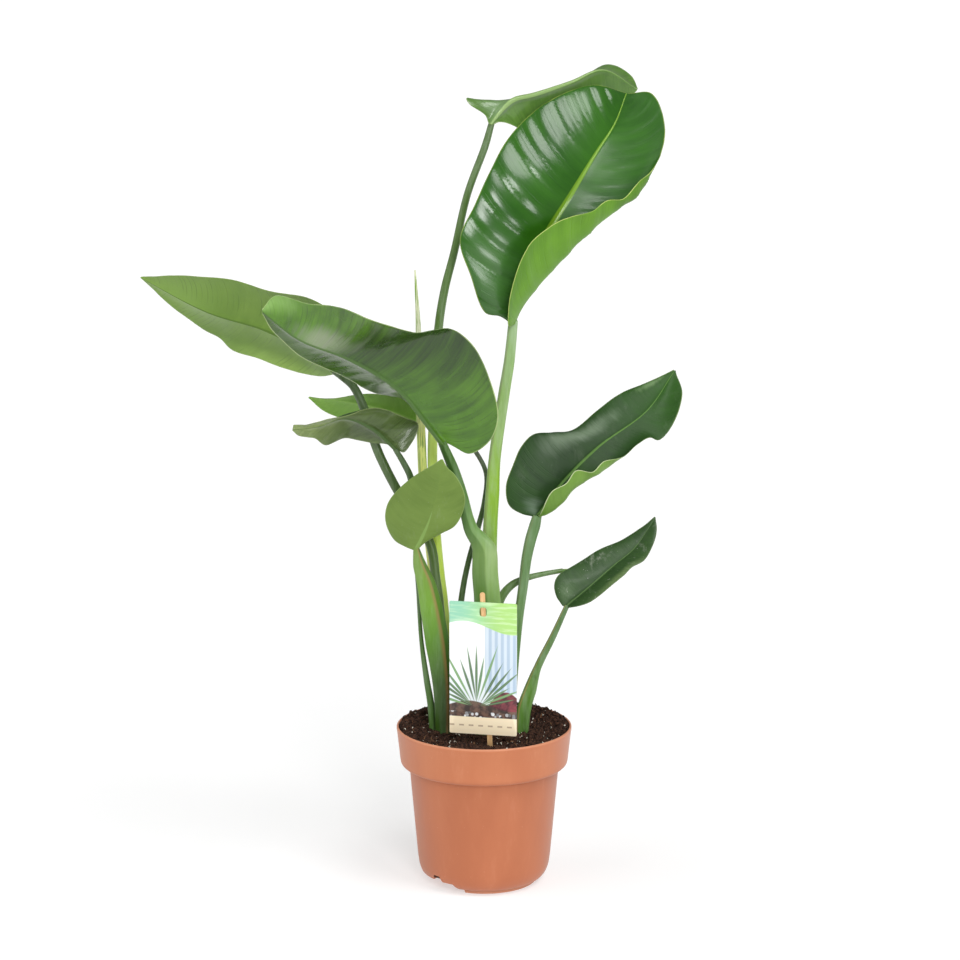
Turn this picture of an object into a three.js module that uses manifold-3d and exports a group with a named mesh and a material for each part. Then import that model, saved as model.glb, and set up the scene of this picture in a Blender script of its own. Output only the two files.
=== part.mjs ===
// Young bird of paradise plant in a round nursery pot, 17 cm across and about 79 cm tall.
// Millimetres. The middle of the pot's underside is the origin, +X is right, +Y is away
// from the viewer, +Z is up.
import * as THREE from "three";
import { mergeVertices } from "three/addons/utils/BufferGeometryUtils.js";
import Module from "manifold-3d";

const wasm = await Module();
wasm.setup();

// Driving dimensions
const GAP = 0.3; // air between two pieces that touch
const LEAF_THICK = 0.9;
const STALK_SIDES = 8;
const POT_SIDES = 48;
const POT_HEIGHT = 156;
const POT_RADIUS = 85.5; // at the lip
const POT_WALL = 1.8;
const BAND_FOOT = 117; // lower edge of the wide band under the lip
const BODY_RADIUS = 73.3; // just under the band
const FOOT_RADIUS = 52; // low ring that the pot stands on
const DRAIN_HEIGHT = 10; // two raised pockets in the underside, open at the side
const DRAIN_ANGLES = [-146, 34]; // degrees from +X
const SOIL_TOP = 146;
const STALK_FOOT = 118; // stalks go this far down into the soil
const NECK_SEAT = 2;
const CARD = { wide: 66, tall: 131, thick: 0.8, x: -1, y: -46, z: 225, turn: -12 };
const STICK = { wide: 5, thick: 2, top: 300, foot: 96, shift: 4, lean: -2.9 };

const COLOURS = {
  glossyLeaf: [0x3f7a2c, 0.3],
  leafUnderside: [0x6d9a40, 0.45],
  dullLeaf: [0x54754a, 0.5],
  stalk: [0x6f9a5c, 0.5],
  sheath: [0x7da35a, 0.5],
  pot: [0xc87f5f, 0.5],
  soil: [0x2e1f18, 0.95],
  card: [0xe6ead6, 0.4],
  wood: [0xd8b07c, 0.7],
};

// Small helpers
const vec = (p) => new THREE.Vector3(p[0], p[1], p[2]);
const curve = (points) => new THREE.CatmullRomCurve3(points.map(vec), false, "centripetal");
const radians = THREE.MathUtils.degToRad;

function solid(points, triangles) {
  const vertProperties = new Float32Array(points.flatMap((p) => [p.x, p.y, p.z]));
  const mesh = new wasm.Mesh({ numProp: 3, vertProperties, triVerts: new Uint32Array(triangles) });
  return new wasm.Manifold(mesh);
}

// Closed solid from a geometry whose seams and poles are still open
function closed(geometry) {
  geometry.deleteAttribute("normal");
  geometry.deleteAttribute("uv");
  const merged = mergeVertices(geometry);
  const triangles = [];
  for (let i = 0; i < merged.index.count; i += 3) {
    const [a, b, c] = merged.index.array.slice(i, i + 3);
    if (a !== b && b !== c && c !== a) triangles.push(a, b, c);
  }
  const { array } = merged.attributes.position;
  const points = Array.from({ length: array.length / 3 }, (_, i) => vec(array.slice(3 * i, 3 * i + 3)));
  return solid(points, triangles);
}

// Upright prism over an outline that runs counter-clockwise seen from above
function prism(outline, low, high) {
  const shape = new THREE.Shape(outline.map(([x, y]) => new THREE.Vector2(x, y)));
  const geometry = new THREE.ExtrudeGeometry(shape, { depth: high - low, bevelEnabled: false });
  return closed(geometry.translate(0, 0, low));
}

// Body of revolution about Z from a profile of [radius, z] that starts and ends on the axis;
// `raise` lifts the point k of the profile by its place in plan
function turned(profile, sides, raise = () => 0) {
  const outline = profile.map(([r, z]) => new THREE.Vector2(r, z));
  const geometry = new THREE.LatheGeometry(outline, sides);
  geometry.rotateX(Math.PI / 2).rotateZ(Math.PI / 2);
  const { position } = geometry.attributes;
  for (let i = 0; i < position.count; i++) {
    const lift = raise(i % profile.length, position.getX(i), position.getY(i));
    position.setZ(i, position.getZ(i) + lift);
  }
  return closed(geometry);
}

// Leaf stalk: each station is [x, y, z, width across the view, depth along the view].
// The section is an ellipse that follows a smooth curve through the stations.
function stalkSolid(stations, grow = 0) {
  const path = curve(stations);
  const spans = stations.length - 1;
  const rings = Math.ceil(1.5 * spans);
  const points = [];
  for (let i = 0; i <= rings; i++) {
    const t = i / rings;
    const k = Math.min(Math.floor(t * spans), spans - 1);
    const f = t * spans - k;
    const [wide, deep] = [3, 4].map((c) => stations[k][c] * (1 - f) + stations[k + 1][c] * f);
    const along = path.getTangent(t);
    const centre = path.getPoint(t);
    if (grow && (i === 0 || i === rings)) centre.addScaledVector(along, i ? grow : -grow);
    const depth = new THREE.Vector3(0, 1, 0).addScaledVector(along, -along.y).normalize();
    const across = depth.clone().cross(along);
    for (let s = 0; s < STALK_SIDES; s++) {
      const a = (2 * Math.PI * s) / STALK_SIDES;
      points.push(
        centre.clone()
          .addScaledVector(across, (wide / 2 + grow) * Math.cos(a))
          .addScaledVector(depth, (deep / 2 + grow) * Math.sin(a)),
      );
    }
  }
  const triangles = [];
  const at = (i, s) => i * STALK_SIDES + (s % STALK_SIDES);
  for (let i = 0; i < rings; i++) {
    for (let s = 0; s < STALK_SIDES; s++) {
      triangles.push(at(i, s), at(i, s + 1), at(i + 1, s + 1));
      triangles.push(at(i, s), at(i + 1, s + 1), at(i + 1, s));
    }
  }
  for (let s = 1; s + 1 < STALK_SIDES; s++) {
    triangles.push(at(0, 0), at(0, s + 1), at(0, s));
    triangles.push(at(rings, 0), at(rings, s), at(rings, s + 1));
  }
  return solid(points, triangles);
}

// Leaf blade: a net of curves from stalk to tip. `midrib`, `left` and `right` (seen on the
// upper face) are the rib and the two edges; `rightFold` is the line over which the right
// half turns back. Without a fold line each half arches a little to the upper face.
function bladeSolid(leaf) {
  const { rows, half, keel } = leaf;
  const midrib = curve(leaf.midrib);
  const sides = [
    { sign: -1, edge: curve(leaf.left) },
    { sign: 1, edge: curve(leaf.right), fold: leaf.rightFold && curve(leaf.rightFold) },
  ];
  const grid = [];
  for (let i = 0; i < rows; i++) {
    const u = 0.6 * (0.5 - 0.5 * Math.cos((Math.PI * i) / rows)) + (0.4 * i) / rows;
    const rib = midrib.getPointAt(u);
    const along = midrib.getTangentAt(u);
    const edges = sides.map((side) => side.edge.getPointAt(u));
    const up = edges[1].clone().sub(edges[0]).cross(along).normalize();
    const row = new Array(2 * half + 1);
    sides.forEach(({ sign, fold }, s) => {
      const reach = edges[s].distanceTo(rib);
      // a cupped blade bends evenly over its rib
      const arch = leaf.cupped ? -0.25 * edges[s].clone().sub(rib).dot(up) : 0.06 * reach;
      const middle = fold ? fold.getPointAt(u) : rib.clone().lerp(edges[s], 0.5).addScaledVector(up, arch);
      for (let j = 0; j <= half; j++) {
        // the first two columns follow the rib, the others share the rest of the half
        const near = Math.min((2.2 * (1 - 0.6 * u) * j) / reach, (0.8 * j) / half);
        const q = j < 3 ? near : THREE.MathUtils.lerp(Math.min(4.4 / reach, 0.3), 1, (j - 2) / (half - 2));
        row[half + sign * j] = new THREE.Vector3()
          .addScaledVector(rib, (1 - q) * (1 - 2 * q))
          .addScaledVector(middle, 4 * q * (1 - q))
          .addScaledVector(edges[s], q * (2 * q - 1));
      }
    });
    grid.push(row);
  }
  const width = 2 * half + 1;
  const tip = midrib.getPointAt(1);
  const across = (i, j) => grid[i][Math.min(j + 1, width - 1)].clone().sub(grid[i][Math.max(j - 1, 0)]);
  const onward = (i, j) => (i + 1 < rows ? grid[i + 1][j] : tip).clone().sub(grid[Math.max(i - 1, 0)][j]);
  const faces = [[], []];
  for (let i = 0; i < rows; i++) {
    for (let j = 0; j < width; j++) {
      const up = across(i, j).cross(onward(i, j)).normalize();
      const share = [1, 0.55, 0][Math.min(Math.abs(j - half), 2)];
      const under = LEAF_THICK / 2 + keel * share * (1 - i / rows);
      faces[0].push(grid[i][j].clone().addScaledVector(up, LEAF_THICK / 2));
      faces[1].push(grid[i][j].clone().addScaledVector(up, -under));
    }
  }
  const tipUp = across(rows - 1, half).cross(onward(rows - 1, half)).normalize();
  faces[0].push(tip.clone().addScaledVector(tipUp, LEAF_THICK / 2));
  faces[1].push(tip.clone().addScaledVector(tipUp, -LEAF_THICK / 2));
  const count = rows * width + 1;
  const top = (i, j) => (i < rows ? i * width + j : rows * width);
  const triangles = [];
  const bothFaces = (a, b, c) => triangles.push(a, b, c, c + count, b + count, a + count);
  const wall = (a, b) => triangles.push(b, a, a + count, b, a + count, b + count);
  for (let i = 0; i < rows; i++) {
    for (let j = 0; j + 1 < width; j++) {
      bothFaces(top(i, j), top(i, j + 1), top(i + 1, j + 1));
      if (i + 1 < rows) bothFaces(top(i, j), top(i + 1, j + 1), top(i + 1, j));
    }
    wall(top(i + 1, 0), top(i, 0));
    wall(top(i, width - 1), top(i + 1, width - 1));
  }
  for (let j = 0; j + 1 < width; j++) wall(top(0, j), top(0, j + 1));
  return solid([...faces[0], ...faces[1]], triangles);
}

// A stalk ends a little way up the rib of its blade, where the blade is cut clear of it
function stalkStations({ stations, neck, midrib }) {
  const [start, next] = midrib.map(vec);
  const end = start.clone().addScaledVector(next.sub(start).normalize(), NECK_SEAT);
  return [...stations, [end.x, end.y, end.z, ...neck]];
}

// A cut can leave a crumb of the blade's foot on the far side of the stalk: only the blade stays
const largest = (body) => body.decompose().reduce((a, b) => (b.volume() > a.volume() ? b : a));

// The leaves, each with its own stalk
const LARGE = { rows: 17, half: 5, keel: 3.4 };
const SMALL = { rows: 11, half: 4, keel: 2 };
const leaves = {
  // tallest leaf: leans back, its right half turned over to show the pale underside
  top_front: {
    ...LARGE, blade: "glossyLeaf", stem: "stalk",
    midrib: [[27, 2, 553], [54, 12, 626], [86, 33, 677], [108, 56, 710], [126, 78, 735], [138, 103, 762]],
    left: [[24, 2, 553], [15, 0, 559], [1, -4, 563], [-13, -8, 599], [-23, -6, 633], [-9, 4, 665],
      [5, 18, 694], [25, 42, 727], [58, 66, 755], [103, 90, 771], [137, 103, 763]],
    right: [[30, 1, 552], [23, -14, 552], [26, -28, 589], [41, -30, 630], [71, -18, 652], [101, -6, 660],
      [116, 4, 669], [132, 12, 670], [146, 20, 684], [162, 36, 697], [174, 66, 730], [162, 92, 763],
      [140, 103, 762]],
    rightFold: [[28, 3, 552], [40, 6, 572], [58, 10, 594], [89, 14, 626], [117, 22, 652], [146, 36, 678],
      [149, 58, 711], [147, 80, 743], [139, 103, 762]],
    stations: [[4, 7, STALK_FOOT, 14, 12], [4, 7, 219, 14, 11], [5, 7, 280, 14, 10], [6, 6, 353, 14, 10],
      [8, 5, 386, 13.5, 9.5], [10, 5, 419, 11.6, 9], [19, 4, 484, 11, 8], [24, 3, 516, 10.4, 7.5]],
    neck: [9, 5],
  },
  // highest leaf: behind the tallest one, rib along the top and one half hanging
  top_back: {
    ...LARGE, blade: "leafUnderside", stem: "stalk",
    midrib: [[6, 45, 737], [15, 48, 749], [27, 54, 759], [49, 66, 764], [84, 88, 774], [115, 108, 784],
      [150, 132, 764]],
    left: [[8, 45, 736], [14, 46, 739], [30, 56, 734], [59, 78, 711], [98, 104, 715], [131, 122, 743],
      [150, 132, 763]],
    right: [[4, 45, 738], [1, 43, 746], [-14, 40, 757], [-17, 44, 762], [-4, 58, 758], [23, 80, 756],
      [57, 112, 763], [94, 138, 775], [121, 148, 787], [145, 142, 776], [151, 133, 764]],
    stations: [[-38, 19, STALK_FOOT, 9, 9], [-37, 18, 237, 9, 9], [-40, 18, 277, 9.5, 9],
      [-43, 18, 302, 9.5, 9], [-47, 18, 347, 9.5, 9], [-50, 21, 416, 9.5, 9], [-48, 24, 474, 9, 8.5],
      [-44, 28, 542, 8.5, 8], [-38, 31, 580, 8, 7.5], [-29, 34, 615, 7.5, 7], [-16, 39, 671, 7, 6.5],
      [1, 43, 717, 7, 6]],
    neck: [6, 4.5],
  },
  // far left leaf: reaches out and back, underside to the front
  far_left: {
    ...LARGE, blade: "leafUnderside", stem: "stalk",
    midrib: [[-143, 16, 503], [-177, 20, 526], [-212, 26, 543], [-266, 36, 558], [-332, 52, 589]],
    left: [[-141, 16, 505], [-129, 2, 524], [-138, -12, 559], [-166, -18, 579], [-205, -8, 585],
      [-244, 6, 594], [-280, 20, 595], [-307, 34, 593], [-331, 52, 590]],
    right: [[-145, 17, 500], [-157, 36, 495], [-170, 52, 494], [-199, 62, 500], [-221, 68, 507],
      [-246, 72, 515], [-258, 72, 527], [-274, 72, 535], [-306, 62, 562], [-331, 52, 588]],
    stations: [[-41, 10, STALK_FOOT, 8, 8], [-41, 8, 239, 8.5, 8], [-44, 7, 280, 9, 8],
      [-47, 7, 302, 9, 8.5], [-52, 9, 334, 9.5, 8.5], [-67, 13, 360, 9.5, 8.5], [-84, 15, 387, 9, 8.5],
      [-99, 15, 417, 9, 8], [-105, 15, 432, 9, 8], [-117, 15, 471, 8.5, 8], [-126, 16, 489, 8, 7.5],
      [-136, 16, 498, 7.5, 7]],
    neck: [6.5, 5],
  },
  // big left leaf: comes forward to the left, underside to the front, round lobe at the stalk
  big_left: {
    ...LARGE, blade: "leafUnderside", stem: "sheath",
    midrib: [[-39, -18, 439], [-53, -22, 458], [-82, -36, 496], [-127, -64, 529], [-170, -96, 552],
      [-202, -120, 581]],
    left: [[-36, -18, 441], [-28, -19, 436], [-14, -21, 430], [5, -26, 443], [13, -32, 465],
      [8, -42, 497], [-10, -52, 539], [-32, -60, 556], [-63, -72, 555], [-96, -88, 566],
      [-129, -104, 582], [-160, -114, 588], [-190, -120, 596], [-202, -121, 584]],
    right: [[-41, -17, 440], [-51, -8, 447], [-64, 4, 463], [-78, 10, 477], [-91, 4, 481],
      [-104, -6, 486], [-143, -40, 513], [-168, -66, 529], [-182, -86, 545], [-195, -104, 562],
      [-202, -119, 579]],
    stations: [[4, -8, STALK_FOOT, 24, 7], [3, -9, 224, 26, 7], [3, -10, 284, 25.6, 6.5],
      [1, -10, 309, 25.2, 6.5], [0, -10, 333, 24, 7], [-5, -10, 343, 18, 7.5], [-12, -11, 353, 14, 8],
      [-16, -11, 365, 12, 8.5], [-22, -12, 390, 11, 8.5], [-30, -14, 415, 10.5, 8]],
    neck: [8, 5],
  },
  // small pale leaf between the two big left ones; its thin stalk arches over to the right
  upper_small: {
    ...SMALL, blade: "leafUnderside", stem: "stalk",
    midrib: [[-58, 36, 447], [-91, 38, 460], [-130, 42, 469], [-171, 48, 472]],
    left: [[-58, 36, 449], [-66, 33, 464], [-81, 31, 475], [-104, 30, 479], [-128, 32, 477],
      [-152, 40, 472], [-170, 48, 473]],
    right: [[-59, 37, 445], [-76, 54, 436], [-107, 62, 436], [-141, 62, 449], [-156, 56, 457],
      [-170, 48, 471]],
    stations: [[-28, 12, STALK_FOOT, 6, 6], [-25, 14, 238, 6, 6], [-22, 16, 279, 6, 6],
      [-16, 18, 312, 5.5, 5.5], [-5, 20, 352, 5.5, 5.5], [0, 21, 373, 5, 5], [2, 24, 401, 4.5, 4.5],
      [-6, 27, 419, 4.5, 4.5], [-20, 30, 435, 4.5, 4.5], [-38, 33, 443, 4.5, 4]],
    neck: [4, 3.6],
  },
  // small grey-green leaf under it, on the long thin stalk at the left
  lower_small: {
    ...SMALL, blade: "dullLeaf", stem: "stalk",
    midrib: [[-84, 0, 429], [-92, -3, 438], [-109, -12, 454], [-133, -22, 465], [-157, -32, 459],
      [-181, -41, 457]],
    left: [[-82, 0, 429], [-77, 1, 427], [-70, 4, 435], [-65, 6, 444], [-63, 7, 453], [-73, -3, 460],
      [-92, -18, 472], [-114, -30, 474], [-135, -38, 469], [-166, -42, 463], [-180, -42, 462]],
    right: [[-86, 0, 430], [-92, 0, 435], [-110, 1, 437], [-122, 0, 439], [-134, -2, 441],
      [-144, -8, 439], [-152, -14, 437], [-162, -24, 446], [-175, -36, 450], [-181, -41, 456]],
    stations: [[-48, 2, STALK_FOOT, 8, 6], [-52, 2, 175, 7, 5.5], [-56, 1, 201, 6, 5],
      [-61, 0, 241, 4.2, 4.2], [-64, -1, 290, 3.6, 3.6], [-66, 0, 321, 4, 4], [-67, 1, 351, 5, 5],
      [-68, 1, 380, 6, 5.5], [-71, 1, 403, 6.5, 5.5], [-77, 1, 416, 6, 5]],
    neck: [5, 4],
  },
  // small cupped leaf in front, its stalk widening into a broad sheath
  front_cupped: {
    ...SMALL, cupped: true, blade: "leafUnderside", stem: "sheath",
    midrib: [[-66, -16, 335], [-60, -22, 348], [-52, -30, 368], [-44, -39, 399], [-40, -48, 430]],
    left: [[-64, -16, 336], [-55, -19, 344], [-41, -22, 352], [-27, -27, 362], [-18, -34, 389],
      [-27, -42, 413], [-35, -46, 422], [-39, -48, 430]],
    right: [[-69, -16, 335], [-76, -12, 337], [-86, -8, 342], [-93, -7, 354], [-95, -9, 367],
      [-91, -14, 383], [-71, -30, 407], [-50, -43, 423], [-41, -48, 430]],
    stations: [[-40, -6, STALK_FOOT, 14, 7], [-40, -7, 193, 19, 7], [-45, -9, 239, 23.5, 6],
      [-51, -11, 276, 22, 6], [-56, -13, 301, 18, 6], [-62, -15, 320, 13, 6]],
    neck: [6, 4.5],
  },
  // dark right leaf: upper face to the front, lower edge folded up
  right_middle: {
    ...LARGE, blade: "dullLeaf", stem: "stalk",
    midrib: [[50, 6, 362], [75, 14, 394], [111, 30, 427], [159, 55, 458], [187, 81, 493]],
    left: [[47, 6, 363], [36, 4, 366], [24, 5, 374], [21, 8, 392], [28, 15, 412], [36, 22, 429],
      [48, 28, 440], [66, 33, 440], [84, 38, 441], [110, 50, 459], [136, 62, 475], [171, 76, 487],
      [186, 81, 494]],
    right: [[53, 6, 363], [56, -8, 373], [65, -16, 393], [78, -14, 400], [88, -8, 411], [104, -2, 408],
      [115, 8, 417], [135, 18, 420], [149, 28, 429], [161, 35, 435], [170, 38, 432], [186, 50, 449],
      [194, 66, 473], [188, 81, 492]],
    rightFold: [[52, 5, 363], [61, -2, 367], [75, -4, 378], [86, -2, 391], [100, 6, 399], [111, 14, 405],
      [123, 22, 412], [149, 40, 437], [167, 50, 447], [180, 66, 468], [188, 81, 493]],
    stations: [[27, 8, STALK_FOOT, 8, 8], [28, 8, 189, 8.5, 8], [31, 8, 234, 9, 8], [34, 8, 264, 9, 8],
      [38, 8, 294, 9.5, 8], [41, 7, 320, 10, 8], [45, 6, 340, 11, 7.5], [49, 6, 354, 11, 7]],
    neck: [9, 5],
  },
  // low right leaf: dusty upper face to the front
  right_low: {
    ...SMALL, rows: 13, blade: "dullLeaf", stem: "stalk",
    midrib: [[79, 2, 274], [102, 8, 292], [126, 18, 311], [147, 30, 326], [168, 46, 353]],
    left: [[76, 2, 275], [70, 4, 284], [68, 7, 294], [71, 10, 302], [84, 16, 310], [109, 27, 323],
      [136, 36, 334], [152, 42, 342], [167, 46, 354]],
    right: [[81, 1, 273], [91, -8, 277], [101, -12, 282], [118, -8, 293], [135, 2, 305], [143, 8, 312],
      [156, 16, 317], [166, 28, 333], [169, 38, 343], [168, 46, 352]],
    stations: [[36, -3, STALK_FOOT, 12, 8], [39, -3, 172, 14, 8], [45, -2, 192, 12.5, 7.5],
      [52, -2, 214, 7.5, 6.5], [67, 0, 245, 6.5, 6]],
    neck: [5, 4],
  },
  // little leaf hidden behind the low right one
  right_hidden: {
    ...SMALL, rows: 8, half: 3, blade: "dullLeaf", stem: "stalk",
    midrib: [[75, 30, 303], [99, 36, 307], [119, 42, 311], [141, 50, 319]],
    left: [[76, 30, 305], [90, 35, 305], [108, 41, 309], [126, 47, 316], [140, 50, 321]],
    right: [[76, 30, 301], [88, 26, 294], [106, 28, 291], [125, 38, 301], [140, 50, 318]],
    stations: [[6, 20, STALK_FOOT, 8, 7], [8, 21, 216, 8, 7], [12, 22, 262, 8.5, 7],
      [18, 23, 280, 8.5, 7], [28, 24, 291, 7.5, 6], [42, 26, 297, 6, 5], [60, 28, 301, 5, 4.5]],
    neck: [4.5, 3.6],
  },
};

// Spear: the newest leaf, still rolled, on its pale sheath
const spear = [[-40, 29, STALK_FOOT, 9, 9], [-42, 28, 203, 9, 9], [-47, 27, 275, 9, 9],
  [-53, 25, 330, 9, 9], [-59, 22, 396, 9, 9], [-61, 20, 445, 8.5, 8], [-63, 19, 494, 7, 7],
  [-63, 18, 541, 5.5, 5.5], [-66, 17, 601, 1.4, 1.4]];

// Pot: tapered body, wide band under the lip, two drain pockets in the underside
const bandTop = POT_RADIUS - POT_WALL;
const bandFoot = BODY_RADIUS + 8.4;
function potSolid() {
  let pot = turned([
    [0, 0], [FOOT_RADIUS, 0], [FOOT_RADIUS, 3.4], [56, 4.2], [58.8, 6.2], [61.6, 10], [63.8, 16],
    [65.2, 26], [BODY_RADIUS, BAND_FOOT], [79, BAND_FOOT + 0.6], [bandFoot - 0.2, BAND_FOOT + 2.6],
    [bandFoot + 0.4, BAND_FOOT + 6], [POT_RADIUS, POT_HEIGHT - 1], [POT_RADIUS - 0.7, POT_HEIGHT],
    [bandTop, POT_HEIGHT], [bandFoot - 1.4, BAND_FOOT + 4.5], [78.6, BAND_FOOT + 2.4],
    [BODY_RADIUS - 1.6, BAND_FOOT + 2], ...innerFoot(0).reverse(),
  ], POT_SIDES);
  for (const angle of DRAIN_ANGLES) {
    const [pocket, cover] = [0, POT_WALL].map((grow) => drainPocket(angle, grow));
    pot = pot.add(cover.intersect(potRoom(0.6))).subtract(pocket);
    // a round hole in the roof of the pocket, partly through the sloping corner of the wall
    const a = radians(angle + 9);
    const hole = Array.from({ length: 12 }, (_, k) => {
      const b = (2 * Math.PI * k) / 12;
      return [57.5 * Math.cos(a) + 7 * Math.cos(b), 57.5 * Math.sin(a) + 7 * Math.sin(b)];
    });
    pot = pot.subtract(prism(hole, -1, DRAIN_HEIGHT + 5.5));
  }
  return pot;
}

// Inner profile of the pot's foot; a positive margin reaches into the wall
function innerFoot(margin) {
  const inside = [[49.5, 2], [51, 5], [55.2, 5.9], [57.5, 7.5], [60, 10.8], [62, 16.4], [63.4, 26]];
  return [[0, 2 - margin], ...inside.map(([r, z]) => [r + margin, z - margin])];
}

// Straight pocket that runs outwards and narrows upwards, grown by the wall for its cover
function drainPocket(angle, grow) {
  const [low, high, roof] = [30.5 + grow, 27 + grow, DRAIN_HEIGHT + grow];
  const section = [[-low, -1], [low, -1], [high, roof], [-high, roof]];
  return prism(section, 30 - grow, 70).rotate(90, 0, 90 + angle);
}

// Room inside the pot, below its band
function potRoom(margin) {
  return turned([
    ...innerFoot(margin), [BODY_RADIUS - 1.6 + margin, BAND_FOOT + 2], [0, BAND_FOOT + 2],
  ], POT_SIDES);
}

// Soil: fills the pot up to a lumpy top, open where the stalks and the label stick stand
function soilSolid(standing) {
  const top = bandTop - 1 - GAP;
  const rings = [0.9, 0.77, 0.62, 0.47, 0.31, 0.15].map((f) => [top * f, SOIL_TOP]);
  const wall = [
    ...innerFoot(-GAP), [BODY_RADIUS - 1.6 - GAP, BAND_FOOT + 2 + GAP],
    [78.4 - GAP, BAND_FOOT + 2.4 + 2 * GAP], [bandFoot - 1.4 - 2 * GAP, BAND_FOOT + 5],
    [top, SOIL_TOP - 1],
  ];
  // small grains all over, heaped against the lip except in front
  const lumps = (k, x, y) => {
    if (k < wall.length - 1) return 0;
    const r = Math.hypot(x, y);
    const grain = Math.sin(x * 0.31 + 1.3) * Math.cos(y * 0.27) + 0.6 * Math.sin(x * 0.13 - y * 0.41 + 2);
    const heap = THREE.MathUtils.clamp((y + 75) / 70, 0.2, 1) * (r / top) ** 2.4;
    return 1.3 * grain + 9.5 * heap;
  };
  let soil = turned([...wall, ...rings, [0, SOIL_TOP]], POT_SIDES, lumps);
  for (const angle of DRAIN_ANGLES) soil = soil.subtract(drainPocket(angle, POT_WALL + GAP));
  for (const body of standing) soil = soil.subtract(body);
  return soil;
}

// Label: an upright card with a small window near its top, threaded on a wooden stick
function roundedPlate(wide, tall, corner, thick) {
  const outline = [];
  for (let c = 0; c < 4; c++) {
    const [cx, cy] = [[1, -1], [1, 1], [-1, 1], [-1, -1]][c];
    for (let k = 0; k <= 3; k++) {
      const a = radians(90 * (c - 1) + 30 * k);
      outline.push([
        cx * (wide / 2 - corner) + corner * Math.cos(a),
        cy * (tall / 2 - corner) + corner * Math.sin(a),
      ]);
    }
  }
  return prism(outline, -thick / 2, thick / 2);
}
const standUp = (body, lean, right, back, up) =>
  body.rotate(90, 0, 0).rotate(0, lean, 0).translate(right, back, up)
    .rotate(0, 0, CARD.turn).translate(CARD.x, CARD.y, CARD.z);
function cardSolid() {
  const window = roundedPlate(STICK.wide + 2, 9, 2, 4).translate(0, 56, 0);
  return standUp(roundedPlate(CARD.wide, CARD.tall, 1.5, CARD.thick).subtract(window), 0, 0, 0, 0);
}
function stickSolid(grow = 0) {
  const tall = STICK.top - STICK.foot;
  const plate = roundedPlate(STICK.wide + 2 * grow, tall + 2 * grow, 0.8, STICK.thick + 2 * grow);
  const behind = (CARD.thick + STICK.thick) / 2 + GAP;
  return standUp(plate, STICK.lean, STICK.shift, behind, (STICK.top + STICK.foot) / 2 - CARD.z);
}

// One named mesh per piece
const plant = new THREE.Group();
plant.name = "potted_bird_of_paradise";
function addPiece(name, body, finish) {
  const { numProp, vertProperties, triVerts } = body.getMesh();
  const positions = new Float32Array((vertProperties.length / numProp) * 3);
  for (let i = 0; i < positions.length / 3; i++) {
    for (let c = 0; c < 3; c++) positions[3 * i + c] = vertProperties[numProp * i + c];
  }
  const geometry = new THREE.BufferGeometry();
  geometry.setAttribute("position", new THREE.BufferAttribute(positions, 3));
  geometry.setIndex([...triVerts]);
  geometry.computeVertexNormals();
  const [color, roughness] = COLOURS[finish];
  const mesh = new THREE.Mesh(geometry, new THREE.MeshStandardMaterial({ color, roughness, metalness: 0 }));
  mesh.name = name;
  plant.add(mesh);
}

const grownStalks = [];
for (const [name, leaf] of Object.entries(leaves)) {
  const stations = stalkStations(leaf);
  const grown = stalkSolid(stations, GAP);
  grownStalks.push(grown);
  addPiece(`${name}_leaf`, largest(bladeSolid(leaf).subtract(grown)), leaf.blade);
  addPiece(`${name}_stalk`, stalkSolid(stations), leaf.stem);
}
addPiece("spear", stalkSolid(spear), "sheath");
addPiece("label_card", cardSolid(), "card");
addPiece("label_stick", stickSolid(), "wood");
addPiece("pot", potSolid(), "pot");
addPiece("soil", soilSolid([...grownStalks, stalkSolid(spear, GAP), stickSolid(GAP)]), "soil");

export default plant;
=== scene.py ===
# %% [markdown]
# # A young bird of paradise in its nursery pot
#
# This lesson dresses a plain solid model of a potted plant. The solids give the size and the
# place of every piece: ten leaves on their stalks, a rolled new leaf, the soil, the pot and a
# plant label on a stick. Blender adds what the eye looks for: pleated blades with fine veins,
# channelled stalks, crumbly peat and moulded plastic.
#
# The model is loaded first, and its box is kept, because nothing may grow out of it.

# %% Load the solid model
import math
import bmesh
import bpy
import numpy as np
from mathutils import Matrix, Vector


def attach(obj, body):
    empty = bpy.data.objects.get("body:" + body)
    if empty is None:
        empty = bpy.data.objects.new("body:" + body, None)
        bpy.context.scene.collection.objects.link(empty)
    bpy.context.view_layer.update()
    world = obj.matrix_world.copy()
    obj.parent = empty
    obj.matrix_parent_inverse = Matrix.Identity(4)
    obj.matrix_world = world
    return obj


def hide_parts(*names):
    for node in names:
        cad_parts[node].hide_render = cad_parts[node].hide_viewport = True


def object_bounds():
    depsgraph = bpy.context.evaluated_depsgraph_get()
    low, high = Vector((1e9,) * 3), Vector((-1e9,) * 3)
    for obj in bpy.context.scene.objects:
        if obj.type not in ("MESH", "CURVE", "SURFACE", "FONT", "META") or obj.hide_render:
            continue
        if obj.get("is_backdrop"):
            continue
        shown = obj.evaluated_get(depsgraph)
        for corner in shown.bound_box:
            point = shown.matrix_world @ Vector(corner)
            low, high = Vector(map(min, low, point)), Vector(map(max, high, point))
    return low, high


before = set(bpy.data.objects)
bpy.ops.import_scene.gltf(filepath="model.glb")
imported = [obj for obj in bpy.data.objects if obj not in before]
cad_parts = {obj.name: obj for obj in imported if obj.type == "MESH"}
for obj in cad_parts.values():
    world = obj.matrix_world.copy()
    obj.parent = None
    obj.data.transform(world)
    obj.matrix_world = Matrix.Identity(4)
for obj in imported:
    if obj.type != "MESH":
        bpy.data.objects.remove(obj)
cad_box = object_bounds()
MM = 0.001
print("solids:", len(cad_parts), "box:", cad_box)

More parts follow.
